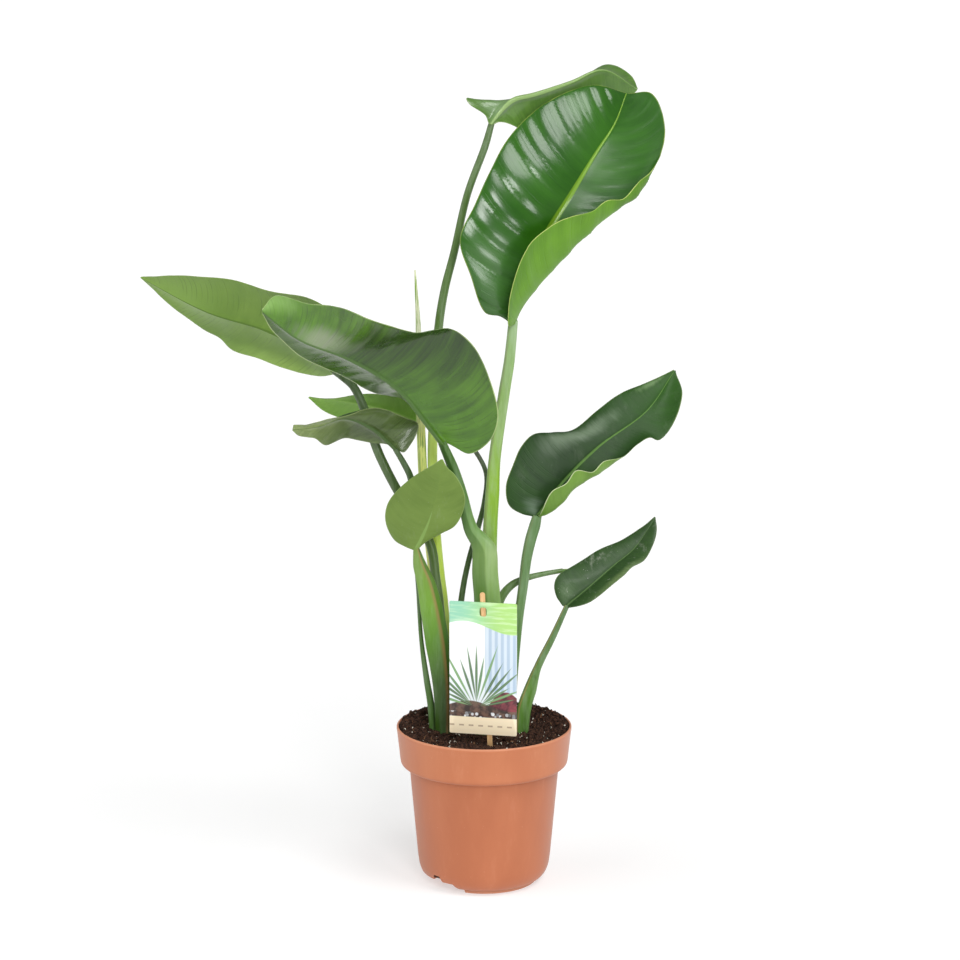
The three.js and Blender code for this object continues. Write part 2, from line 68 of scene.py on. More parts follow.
# %% [markdown]
# ## Camera
#
# The plant was photographed from a little above the middle of its leaves, with a long lens from
# almost three metres. A long lens keeps the pot's rim nearly flat, so the lens matters as much
# as the place of the camera.

# %% Camera
camera = bpy.data.objects.new("camera", bpy.data.cameras.new("camera"))
camera.data.lens = 111.5
camera.data.sensor_width = 36
camera.data.clip_end = 200
camera.location = (-0.004, -2.8, 0.98)
camera.rotation_euler = (math.radians(90 - 11.7), 0, 0)
bpy.context.collection.objects.link(camera)
bpy.context.scene.camera = camera
print("camera at", tuple(camera.location))

# %% [markdown]
# ## Helpers for nodes
#
# Every finish below is built from nodes. A few short helpers keep that readable: one adds a node
# and wires it, the others are common sums, fades, mixes and places.

# %% Node helpers
def node(tree, kind, inputs=None, **settings):
    """Adds a node; an input is a plain value or another node's output."""
    made = tree.nodes.new(kind)
    for name, value in settings.items():
        setattr(made, name, value)
    for key, value in (inputs or {}).items():
        if isinstance(value, bpy.types.NodeSocket):
            tree.links.new(value, made.inputs[key])
        else:
            made.inputs[key].default_value = value
    return made


def calc(tree, sign, *values, clamp=False):
    """A Math node's result; sign is + - * / or the name of an operation."""
    operation = {"+": "ADD", "-": "SUBTRACT", "*": "MULTIPLY", "/": "DIVIDE"}.get(sign, sign)
    inputs = dict(enumerate(values))
    return node(tree, "ShaderNodeMath", inputs, operation=operation, use_clamp=clamp).outputs[0]


def fade(tree, value, start, stop, low=0.0, high=1.0):
    """Goes smoothly from low to high as value goes from start to stop."""
    inputs = {0: value, 1: start, 2: stop, 3: low, 4: high}
    made = node(tree, "ShaderNodeMapRange", inputs, interpolation_type="SMOOTHSTEP")
    return made.outputs[0]


def paint(red, green, blue):
    """A screen colour, 0 to 255, as the linear colour that shaders use."""
    def linear(c):
        c /= 255
        return c / 12.92 if c <= 0.04045 else ((c + 0.055) / 1.055) ** 2.4
    return (linear(red), linear(green), linear(blue), 1.0)


def mixed(tree, factor, first, second, how="MIX"):
    """Two colours mixed; three whole numbers stand for a screen colour."""
    first, second = (paint(*c) if isinstance(c, tuple) and len(c) == 3 else c
                     for c in (first, second))
    inputs = {0: factor, 6: first, 7: second}
    made = node(tree, "ShaderNodeMix", inputs, data_type="RGBA", blend_type=how)
    return made.outputs[2]


def noise(tree, vector, scale, detail, rough=0.55):
    inputs = {"Vector": vector, "Scale": scale, "Detail": detail, "Roughness": rough}
    return node(tree, "ShaderNodeTexNoise", inputs).outputs[0]


def value_of(tree, name):
    """A number kept on the mesh's points."""
    return node(tree, "ShaderNodeAttribute", attribute_name=name).outputs["Fac"]


def place(tree):
    return node(tree, "ShaderNodeTexCoord").outputs["Object"]


def parts(tree, vector):
    """The X, Y and Z of a vector."""
    return node(tree, "ShaderNodeSeparateXYZ", {0: vector}).outputs


def stretched(tree, *scale, vector=None, turn=0.0):
    """Places with a scale for each axis, so that a noise on them turns into streaks."""
    vector = place(tree) if vector is None else vector
    inputs = {"Vector": vector, "Scale": scale, "Rotation": (0, 0, turn)}
    return node(tree, "ShaderNodeMapping", inputs).outputs[0]


print("node helpers ready")

# %% [markdown]
# Node groups and materials have helpers of their own. A group is opened with named sockets and
# placed by name in as many materials as need it. The last two join what a material has worked
# out to its shader.

# %% Helpers for groups and materials
def new_group(name, inputs, outputs, kind="ShaderNodeTree"):
    """An empty node group with named sockets."""
    tree = bpy.data.node_groups.new(name, kind)
    for label, socket, start in inputs:
        made = tree.interface.new_socket(label, in_out="INPUT", socket_type="NodeSocket" + socket)
        if start is not None:
            made.default_value = start
    for label, socket in outputs:
        tree.interface.new_socket(label, in_out="OUTPUT", socket_type="NodeSocket" + socket)
    return tree, node(tree, "NodeGroupInput").outputs, node(tree, "NodeGroupOutput").inputs


def use(tree, group, **inputs):
    """Places a group in a material; underscores in the names stand for spaces."""
    named = {name.replace("_", " "): value for name, value in inputs.items()}
    return node(tree, "ShaderNodeGroup", named, node_tree=group).outputs


def new_material(name, **constants):
    """A material with one Principled shader; constants go straight on its sockets."""
    material = bpy.data.materials.new(name)
    material.use_nodes = True
    tree = material.node_tree
    shader = tree.nodes["Principled BSDF"]
    for label, value in constants.items():
        shader.inputs[label.replace("_", " ")].default_value = value
    return material, tree, shader.inputs


def wire(tree, shader, colour, rough=None):
    """Joins the finished colour and roughness to the shader."""
    tree.links.new(colour, shader["Base Color"])
    if rough is not None:
        tree.links.new(rough, shader["Roughness"])


def bump(tree, shader, height, distance, strength):
    inputs = {"Height": height, "Distance": distance, "Strength": strength}
    tree.links.new(node(tree, "ShaderNodeBump", inputs).outputs[0], shader["Normal"])


print("group and material helpers ready")

# %% [markdown]
# ## Helpers for meshes
#
# Leaves and stalks follow smooth lines. The same kind of line as in the solid model is used
# here, a Catmull-Rom curve, so that the fine blades lie on the plain ones. Its points are read
# by distance along the line, which keeps the rows of a blade even.

# %% Smooth lines
class Line:
    """A smooth line through points in millimetres."""

    def __init__(self, points):
        p = np.array(points, float)[:, :3]
        self.p = np.vstack([2 * p[0] - p[1], p, 2 * p[-1] - p[-2]])
        self.t = np.linspace(0, 1, 201)
        steps = np.linalg.norm(np.diff(self.at(self.t), axis=0), axis=1)
        self.run = np.concatenate([[0], np.cumsum(steps)])
        self.length = self.run[-1]

    def at(self, t):
        spans = len(self.p) - 3
        x = np.asarray(t, float) * spans
        k = np.clip(x.astype(int), 0, spans - 1)
        f = (x - k)[:, None]
        a, b, c, d = (self.p[k + i] for i in range(4))
        g0, g1, g2 = (np.linalg.norm(q - p, axis=1, keepdims=True) ** 0.5
                      for p, q in ((a, b), (b, c), (c, d)))
        start = ((b - a) / g0 - (c - a) / (g0 + g1) + (c - b) / g1) * g1
        end = ((c - b) / g1 - (d - b) / (g1 + g2) + (d - c) / g2) * g1
        square = -3 * b + 3 * c - 2 * start - end
        cube = 2 * b - 2 * c + start + end
        return b + start * f + square * f**2 + cube * f**3

    def along(self, u):
        return self.at(np.interp(np.asarray(u) * self.length, self.run, self.t))


def unit(v):
    return v / np.maximum(np.linalg.norm(v, axis=-1, keepdims=True), 1e-9)


def smooth(x, low, high):
    t = np.clip((x - low) / (high - low), 0, 1)
    return t * t * (3 - 2 * t)


print("line helpers ready")

# %% [markdown]
# Meshes are made from lists of points and faces, and can carry numbers on their points for the
# materials to read. What modifiers make of a mesh is kept as a plain mesh straight away.

# %% Mesh helpers
def new_mesh(name, points, faces, materials, numbers=None, which=None, edges=()):
    """A mesh object from points in metres; numbers maps names to values or arrows on points."""
    mesh = bpy.data.meshes.new(name)
    mesh.from_pydata(np.asarray(points).tolist(), edges, faces)
    for label, values in (numbers or {}).items():
        values = np.asarray(values, np.float32)
        kind, field = ("FLOAT", "value") if values.ndim == 1 else ("FLOAT_VECTOR", "vector")
        mesh.attributes.new(label, kind, "POINT").data.foreach_set(field, values.ravel())
    for material in materials:
        mesh.materials.append(material)
    if which is not None:
        mesh.polygons.foreach_set("material_index", np.asarray(which, np.int32))
    mesh.shade_smooth()
    mesh.update()
    made = bpy.data.objects.new(name, mesh)
    bpy.context.collection.objects.link(made)
    return made


def settle(made):
    """Makes the result of an object's modifiers its own plain mesh, with faces outwards."""
    graph = bpy.context.evaluated_depsgraph_get()
    whole = made.evaluated_get(graph)
    mesh = bpy.data.meshes.new_from_object(whole, preserve_all_data_layers=True, depsgraph=graph)
    made.modifiers.clear()
    made.data = mesh
    work = bmesh.new()
    work.from_mesh(mesh)
    if work.calc_volume(signed=True) < 0:
        bmesh.ops.reverse_faces(work, faces=work.faces)
        work.to_mesh(mesh)
    work.free()
    return made


def finished(made, slot, *nodes):
    """Parents a piece to the root and hides the solids that it stands for."""
    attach(made, "root")
    if nodes:
        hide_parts(*nodes)
    triangles = sum(len(p.vertices) - 2 for p in made.data.polygons)
    print(f"{made.name}: {triangles} triangles")


print("mesh helpers ready")

# %% [markdown]
# The pot, the soil and the label are closed solids: turned round the axis or cut out of a board,
# then joined or pierced with Boolean modifiers.

# %% Helpers for closed solids
def revolve(profile, sides):
    """Points and faces of a turned shape; both ends of its profile lie on the axis."""
    turn = np.arange(sides) * 2 * math.pi / sides
    rings = [[[r * math.cos(a), r * math.sin(a), z] for a in turn] for r, z in profile[1:-1]]
    foot, head = [0, 0, profile[0][1]], [0, 0, profile[-1][1]]
    points = [foot] + [p for ring in rings for p in ring] + [head]
    at = lambda k, s: 1 + k * sides + s % sides
    count = len(rings)
    faces = []
    for s in range(sides):
        faces.append((0, at(0, s + 1), at(0, s)))
        faces += [(at(k, s), at(k, s + 1), at(k + 1, s + 1), at(k + 1, s))
                  for k in range(count - 1)]
        faces.append((at(count - 1, s), at(count - 1, s + 1), len(points) - 1))
    return np.array(points, float), faces


def prism(name, outline, low, high, materials):
    """A closed block over an outline of [x, y] in millimetres."""
    n = len(outline)
    points = np.array([[x, y, z] for z in (low, high) for x, y in outline]) * MM
    faces = [tuple(range(n))[::-1], tuple(range(n, 2 * n))]
    faces += [(k, (k + 1) % n, n + (k + 1) % n, n + k) for k in range(n)]
    return new_mesh(name, points, faces, materials)


def turned(name, profile, sides, materials=(), centre=(0, 0, 0)):
    """The turned shape of a profile in millimetres as an object."""
    points, faces = revolve(profile, sides)
    return new_mesh(name, (points + np.array(centre, float)) * MM, faces, materials)


def joined(made, other, how):
    """Adds or cuts a closed shape."""
    modifier = made.modifiers.new(how, "BOOLEAN")
    modifier.object = other
    modifier.operation = how
    modifier.solver = "MANIFOLD"
    settle(made)
    bpy.data.objects.remove(other)


def one_finish(made, finish, sharp=None):
    """Leaves a cut shape with one material and smooth shading, sharp above an angle in degrees."""
    made.data.materials.clear()
    made.data.materials.append(finish)
    made.data.shade_smooth()
    if sharp:
        made.data.set_sharp_from_angle(angle=math.radians(sharp))


print("solid helpers ready")

# %% [markdown]
# ## Finish of the blades
#
# A blade has one strong rib, a very thin pale margin, and hundreds of side veins that leave the
# rib at an angle and bend towards the tip. They could be drawn with a wave texture on the
# object's coordinates, but then they would ignore the leaf's shape. Here each point of the blade
# carries its distance from the rib and from the margin, and the number of the side vein that it
# lies on, and the material reads those numbers.
#
# The markings are one node group, because twenty faces of ten leaves use them.

# %% Markings of a blade
marks, given, out = new_group(
    "blade markings",
    [("Rib Width", "Float", 4.0), ("Rib Fade", "Float", 0.1), ("Margin Width", "Float", 0.9),
     ("Veins", "Float", 9.0)],
    [(label, "Float")
     for label in ("Rib", "Margin", "Vein", "Crease", "Streak", "Cloud", "Height")],
)
along = value_of(marks, "along")
from_rib = value_of(marks, "from_rib")
taper = fade(marks, along, 0.0, 1.0, 1.0, given["Rib Fade"])
half_rib = calc(marks, "*", calc(marks, "*", given["Rib Width"], 0.5), taper)
half_rib = calc(marks, "MAXIMUM", half_rib, 0.01)
rib = fade(marks, calc(marks, "/", from_rib, half_rib), 0.7, 1.35, 1.0, 0.0)
worn = fade(marks, noise(marks, place(marks), 26.0, 2.0), 0.3, 0.62, 0.25, 1.0)
from_margin = calc(marks, "/", value_of(marks, "from_edge"), given["Margin Width"])
margin = calc(marks, "*", worn, fade(marks, from_margin, 0.6, 1.2, 1.0, 0.0))
vein_line, across = value_of(marks, "vein_line"), value_of(marks, "across")
wander = calc(marks, "*", noise(marks, place(marks), 40.0, 2.0), 0.5)
strand = node(marks, "ShaderNodeCombineXYZ", {
    "X": calc(marks, "*", vein_line, given["Veins"]), "Y": calc(marks, "*", across, 1.4)})
vein = fade(marks, noise(marks, strand.outputs[0], 1.0, 3.0, 0.6), 0.36, 0.64)
strip = node(marks, "ShaderNodeCombineXYZ", {
    "X": calc(marks, "*", vein_line, 2.2), "Y": calc(marks, "*", across, 0.9)})
streak = noise(marks, strip.outputs[0], 1.0, 4.0, 0.6)
cloud = noise(marks, place(marks), 22.0, 3.0, 0.5)
row = calc(marks, "MULTIPLY_ADD", vein_line, 4.2, calc(marks, "*", wander, 0.4))
number = calc(marks, "FLOOR", row)
where, how_deep = (
    node(marks, "ShaderNodeTexWhiteNoise", {"W": calc(marks, "+", number, shift)},
         noise_dimensions="1D").outputs["Value"]
    for shift in (0.0, 0.5))
off = calc(marks, "-", calc(marks, "FRACT", row), calc(marks, "MULTIPLY_ADD", where, 0.6, 0.2))
off = calc(marks, "ABSOLUTE", off)
crease_shade = calc(marks, "*", fade(marks, off, 0.02, 0.12, 1.0, 0.0), fade(marks, how_deep, 0.0, 1.0))
outward = fade(marks, calc(marks, "ABSOLUTE", across), 0.04, 0.4)
broken = fade(marks, noise(marks, place(marks), 55.0, 2.0), 0.35, 0.55)
crease_shade = calc(marks, "*", calc(marks, "*", crease_shade, outward), broken)
lift = calc(marks, "-", calc(marks, "MULTIPLY_ADD", vein, 0.5, streak),
            calc(marks, "*", crease_shade, 2.0))
lift = calc(marks, "*", calc(marks, "-", 1.0, rib), lift)
for label, value in (("Rib", rib), ("Margin", margin), ("Vein", vein), ("Streak", streak),
                     ("Crease", crease_shade), ("Cloud", cloud), ("Height", lift)):
    marks.links.new(value, out[label])
print("blade markings:", len(marks.nodes), "nodes")

# %% [markdown]
# Handled leaves have a little pale dust and a few scuffs, and so has the pot. That is a second
# group, with its own amount for each material.

# %% Dust and scuffs
dust, given, out = new_group(
    "dust and scuffs",
    [("Amount", "Float", 0.2), ("Speck Scale", "Float", 900.0), ("Scuff Scale", "Float", 90.0)],
    [("Mask", "Float")],
)
spot = node(dust, "ShaderNodeTexVoronoi", {"Vector": place(dust), "Scale": given["Speck Scale"]})
speck = fade(dust, spot.outputs["Distance"], 0.10, 0.2, 1.0, 0.0)
picked = fade(dust, noise(dust, place(dust), given["Speck Scale"], 1.0), 0.60, 0.68)
drawn = stretched(dust, 1.0, 1.0, 0.3)
scuff = fade(dust, noise(dust, drawn, given["Scuff Scale"], 6.0, 0.7), 0.56, 0.75)
both = calc(dust, "MAXIMUM", calc(dust, "*", speck, picked), calc(dust, "*", scuff, 0.45))
dust.links.new(calc(dust, "*", both, given["Amount"], clamp=True), out["Mask"])
print("dust and scuffs:", len(dust.nodes), "nodes")

# %% [markdown]
# The upper face of a blade is waxed and shines, the underside is duller and often lighter. Both
# are made by one function with their own colours. The gloss stays plain numbers on the shader.

# %% Blade material
def blade_material(name, deep, light, rib, margin=(196, 206, 140), *, gloss=0.4, vein=0.2,
                   cloud=0.6, rib_width=4.0, rib_fade=0.15, dusty=0.0, coat=0.0, relief=0.0003,
                   crease_shade=None, edging=0.45, painted_light_and_tint_patches=(), painted_shade_half=None, dull_half=None):
    """A patch is (along, across, half length, half width, colour, amount), a soft spot of painted
    highlight, sheen or shade, or of the leaf's own tint.
    """
    material, tree, shader = new_material(
        name, Specular_IOR_Level=0.3, Coat_Weight=coat, Coat_Roughness=0.16)
    found = use(tree, marks, Rib_Width=rib_width, Rib_Fade=rib_fade)
    tone = calc(tree, "MULTIPLY_ADD", found["Cloud"], cloud, calc(tree, "*", found["Streak"], 0.5))
    tone = fade(tree, tone, 0.3, 0.85)
    colour = mixed(tree, tone, deep, light)
    # Soft patches: most paint a highlight, a sheen or shade into the colour, a few give the leaf a
    # tint of its own.
    for along, across, long, wide, shade, amount in painted_light_and_tint_patches:
        offs = [calc(tree, "/", calc(tree, "-", value_of(tree, label), centre), size)
                for label, centre, size in (("along", along, long), ("across", across, wide))]
        away = calc(tree, "SQRT", calc(tree, "+", *(calc(tree, "*", off, off) for off in offs)))
        torn = calc(tree, "MULTIPLY_ADD", found["Streak"], 0.9, calc(tree, "-", away, 0.45))
        colour = mixed(tree, fade(tree, torn, 0.1, 1.0, amount, 0.0), colour, shade)
    # Painted shade: one half of the blade can be darker than the other.
    if painted_shade_half:
        half = fade(tree, value_of(tree, "across"), -0.05, 0.15, 0.0, 0.8)
        colour = mixed(tree, half, colour, painted_shade_half)
    # Painted shade: dark colour laid in the creases of the side veins.
    if crease_shade:
        colour = mixed(tree, calc(tree, "*", found["Crease"], 0.5, clamp=True), colour, crease_shade)
    brighter = mixed(tree, calc(tree, "*", found["Vein"], vein), colour, light)
    colour = mixed(tree, calc(tree, "*", found["Rib"], 0.85), brighter, rib)
    colour = mixed(tree, calc(tree, "*", found["Margin"], edging), colour, margin)
    rough = calc(tree, "MULTIPLY_ADD", found["Cloud"], 0.14, gloss - 0.07)
    rough = calc(tree, "MULTIPLY_ADD", found["Rib"], 0.25, rough)
    if dusty:
        spots = use(tree, dust, Amount=dusty, Speck_Scale=420.0, Scuff_Scale=70.0)["Mask"]
        colour = mixed(tree, spots, colour, (196, 200, 186))
        rough = calc(tree, "MULTIPLY_ADD", spots, 0.3, rough)
    if dull_half is not None:
        half = fade(tree, value_of(tree, "across"), -0.05, 0.15)
        rough = calc(tree, "MULTIPLY_ADD", half, 0.2, rough)
        wax = calc(tree, "MULTIPLY_ADD", half, coat * (dull_half - 1), coat)
        tree.links.new(wax, shader["Coat Weight"])
    wire(tree, shader, colour, rough)
    bump(tree, shader, found["Height"], relief, 0.35)
    return material


print("blade material ready")

# %% [markdown]
# ## Blades
#
# A blade is a net of lines: the rib, the two edges and, where a half turns over, the line of the
# fold. A row of the net runs from one edge over the rib to the other as two gentle arcs. The
# plain solids have a few rows; the blades here have ninety or more, so that the pleats show:
# shallow folds along the side veins, sharp at the bottom and rounded between. Rows stand closer
# at both ends of the leaf, and points closer at its rib and edges, where the form changes fastest.

# %% Rows of a blade
NEAR_RIB = np.array([[0, 0.9, 1.8, 3.0, 4.6]])
NEAR_EDGE = np.array([[2.4, 1.3, 0.6, 0.0]])


def half_row(rib, middle, edge, columns):
    """Points of one half of every row at even distances from the rib, with those distances."""
    q = np.linspace(0, 1, 33)[None, :, None]
    arc = (rib[:, None] * (1 - q) * (1 - 2 * q) + middle[:, None] * 4 * q * (1 - q)
           + edge[:, None] * q * (2 * q - 1))
    run = np.zeros(arc.shape[:2])
    run[:, 1:] = np.cumsum(np.linalg.norm(np.diff(arc, axis=1), axis=2), axis=1)
    whole = np.maximum(run[:, -1:], 0.05)
    near = np.minimum(NEAR_RIB, whole * 0.3 * np.arange(5) / 4)
    far = whole - np.minimum(NEAR_EDGE, whole * np.array([[0.2, 0.11, 0.05, 0.0]]))
    plain = columns - NEAR_RIB.size - NEAR_EDGE.size
    share = (np.arange(plain) + 1) / (plain + 1)
    inner = near[:, -1:] + (far[:, :1] - near[:, -1:]) * share
    wanted = np.hstack([near, inner, far])
    points = [[np.interp(row, length, line[:, c]) for row, length, line in zip(wanted, run, arc)]
              for c in range(3)]
    return np.stack(points, axis=2), wanted, whole


def net_of(leaf, cupped, rows, columns):
    """The middle surface of a blade, row by row, and where each of its points lies."""
    rib_line = Line(leaf["midrib"])
    i = np.arange(rows + 1) / rows
    u = 0.6 * (0.5 - 0.5 * np.cos(math.pi * i)) + 0.4 * i
    rib = rib_line.along(u)
    near = 0.004
    way = unit(rib_line.along(np.minimum(u + near, 1)) - rib_line.along(np.maximum(u - near, 0)))
    edges = [Line(leaf[side]).along(u) for side in ("left", "right")]
    up = unit(np.cross(edges[1] - edges[0], way))
    halves = []
    for edge, fold in zip(edges, ("leftFold", "rightFold")):
        arch = 0.06 * np.linalg.norm(edge - rib, axis=1, keepdims=True)
        if cupped:
            arch = -0.25 * np.sum((edge - rib) * up, axis=1, keepdims=True)
        middle = Line(leaf[fold]).along(u) if fold in leaf else (rib + edge) / 2 + up * arch
        halves.append(half_row(rib, middle, edge, columns))
    (left, left_run, left_whole), (right, right_run, right_whole) = halves
    grid = np.concatenate([left[:, :0:-1], right], axis=1)
    run = np.concatenate([left_run[:, :0:-1], right_run], axis=1)
    whole = np.concatenate(
        [np.repeat(left_whole, columns - 1, 1), np.repeat(right_whole, columns, 1)], axis=1)
    side = np.concatenate([-np.ones(columns - 1), np.ones(columns)])[None, :]
    return u, grid, run, whole, side


print("points of a row that stay near the rib and the edge:", NEAR_RIB.size, NEAR_EDGE.size)

# %% [markdown]
# The net gets its thickness and its relief. `SLANT` bends the side veins towards the tip. The
# fold of the pleats and the ripple of the edge move both faces alike; the keel is on the
# underside alone, and the groove on the upper face.

# %% Shape of a blade
SLANT = 0.42


def pleats(lines, reach, seed, count):
    """Rounded bulges between sharp grooves along the side veins; highest towards the edge."""
    chance = np.random.default_rng(seed)
    grooves = np.cumsum(chance.uniform(0.55, 1.45, count + 9)) - 5
    heights = chance.uniform(0.3, 1.0, len(grooves))
    k = np.clip(np.searchsorted(grooves, lines) - 1, 0, len(grooves) - 2)
    share = np.clip((lines - grooves[k]) / (grooves[k + 1] - grooves[k]), 0, 1)
    bulge = heights[k] * (grooves[k + 1] - grooves[k]) * (np.sin(math.pi * share**0.6) - 0.5)
    return bulge * smooth(reach, 0.08, 0.5) * (1 - 0.5 * smooth(reach, 0.85, 1.0))


def sandwich(rows, wide):
    """Faces of a closed sheet: upper net, lower net and rim; the lower net has material 1."""
    total = (rows + 1) * wide
    at = np.arange(total).reshape(rows + 1, wide)
    quads = np.stack([at[:-1, :-1], at[:-1, 1:], at[1:, 1:], at[1:, :-1]], axis=-1).reshape(-1, 4)
    ring = np.concatenate([at[0, :-1], at[:-1, -1], at[-1, :0:-1], at[:0:-1, 0]])
    after = np.roll(ring, -1)
    rim = np.stack([after, ring, ring + total, after + total], axis=1)
    faces = np.vstack([quads, quads[:, ::-1] + total, rim])
    return faces.tolist(), np.repeat([0, 1, 0], [len(quads), len(quads), len(rim)])


def blade(name, leaf, looks, materials, rows, columns, seed):
    """A closed blade with its numbers for the markings."""
    u, grid, run, whole, side = net_of(leaf, looks.get("cupped"), rows, columns)
    length, spacing = Line(leaf["midrib"]).length, looks["spacing"]
    reach = run / whole
    lines = (u[:, None] * length - SLANT * run * reach**0.6) / spacing + 0.37 * (side > 0)
    normal = unit(np.cross(np.gradient(grid, axis=1), np.gradient(grid, axis=0)))
    ends = (smooth(u, 0.0, 0.12) * (1 - smooth(u, 0.9, 1.0)))[:, None]
    fold = looks["pleat"] * pleats(lines, reach, seed, int(length / spacing)) * ends
    fold = fold * np.where(side > 0, looks.get("calm", 1.0), 1.0)
    ripple = looks.get("ripple", 0) * reach**4 * np.sin(lines * 1.9 + side * 1.3) * ends
    thin = (1 - u)[:, None]
    keel = looks["keel"] * thin**0.7 * np.exp(-((run / (2.0 + 1.6 * thin)) ** 2))
    groove = 0.5 * thin**0.5 * np.exp(-((run / (1.0 + 0.8 * thin)) ** 2))
    body = 0.12 + 0.24 * np.minimum(1, (whole - run) / 2)
    top = grid + normal * (fold + ripple + body - groove)[..., None]
    low = grid + normal * (fold + ripple - body - keel)[..., None]
    kept_on_points = {
        "along": np.broadcast_to(u[:, None], run.shape), "across": side * reach,
        "from_rib": run, "from_edge": whole - run, "vein_line": lines}
    numbers = {label: np.tile(values.ravel(), 2) for label, values in kept_on_points.items()}
    points = np.vstack([top.reshape(-1, 3), low.reshape(-1, 3)]) * MM
    faces, which = sandwich(rows, 2 * columns - 1)
    return new_mesh(name, points, faces, materials, numbers, which)


print("blade shape ready")

# %% [markdown]
# ## The leaves' own lines
#
# These are the lines of the solid model, in millimetres. `stations` are the stalk's points, each
# with its width across the view and its depth along it. `neck` is its size where it runs into
# the rib. A text such as "75 30 303, 99 36 307" holds the points, because lists of lists would
# take a third more room.

# %% Lines of the leaves
def points_in(text):
    return [[float(number) for number in point.split()] for point in text.split(",")]


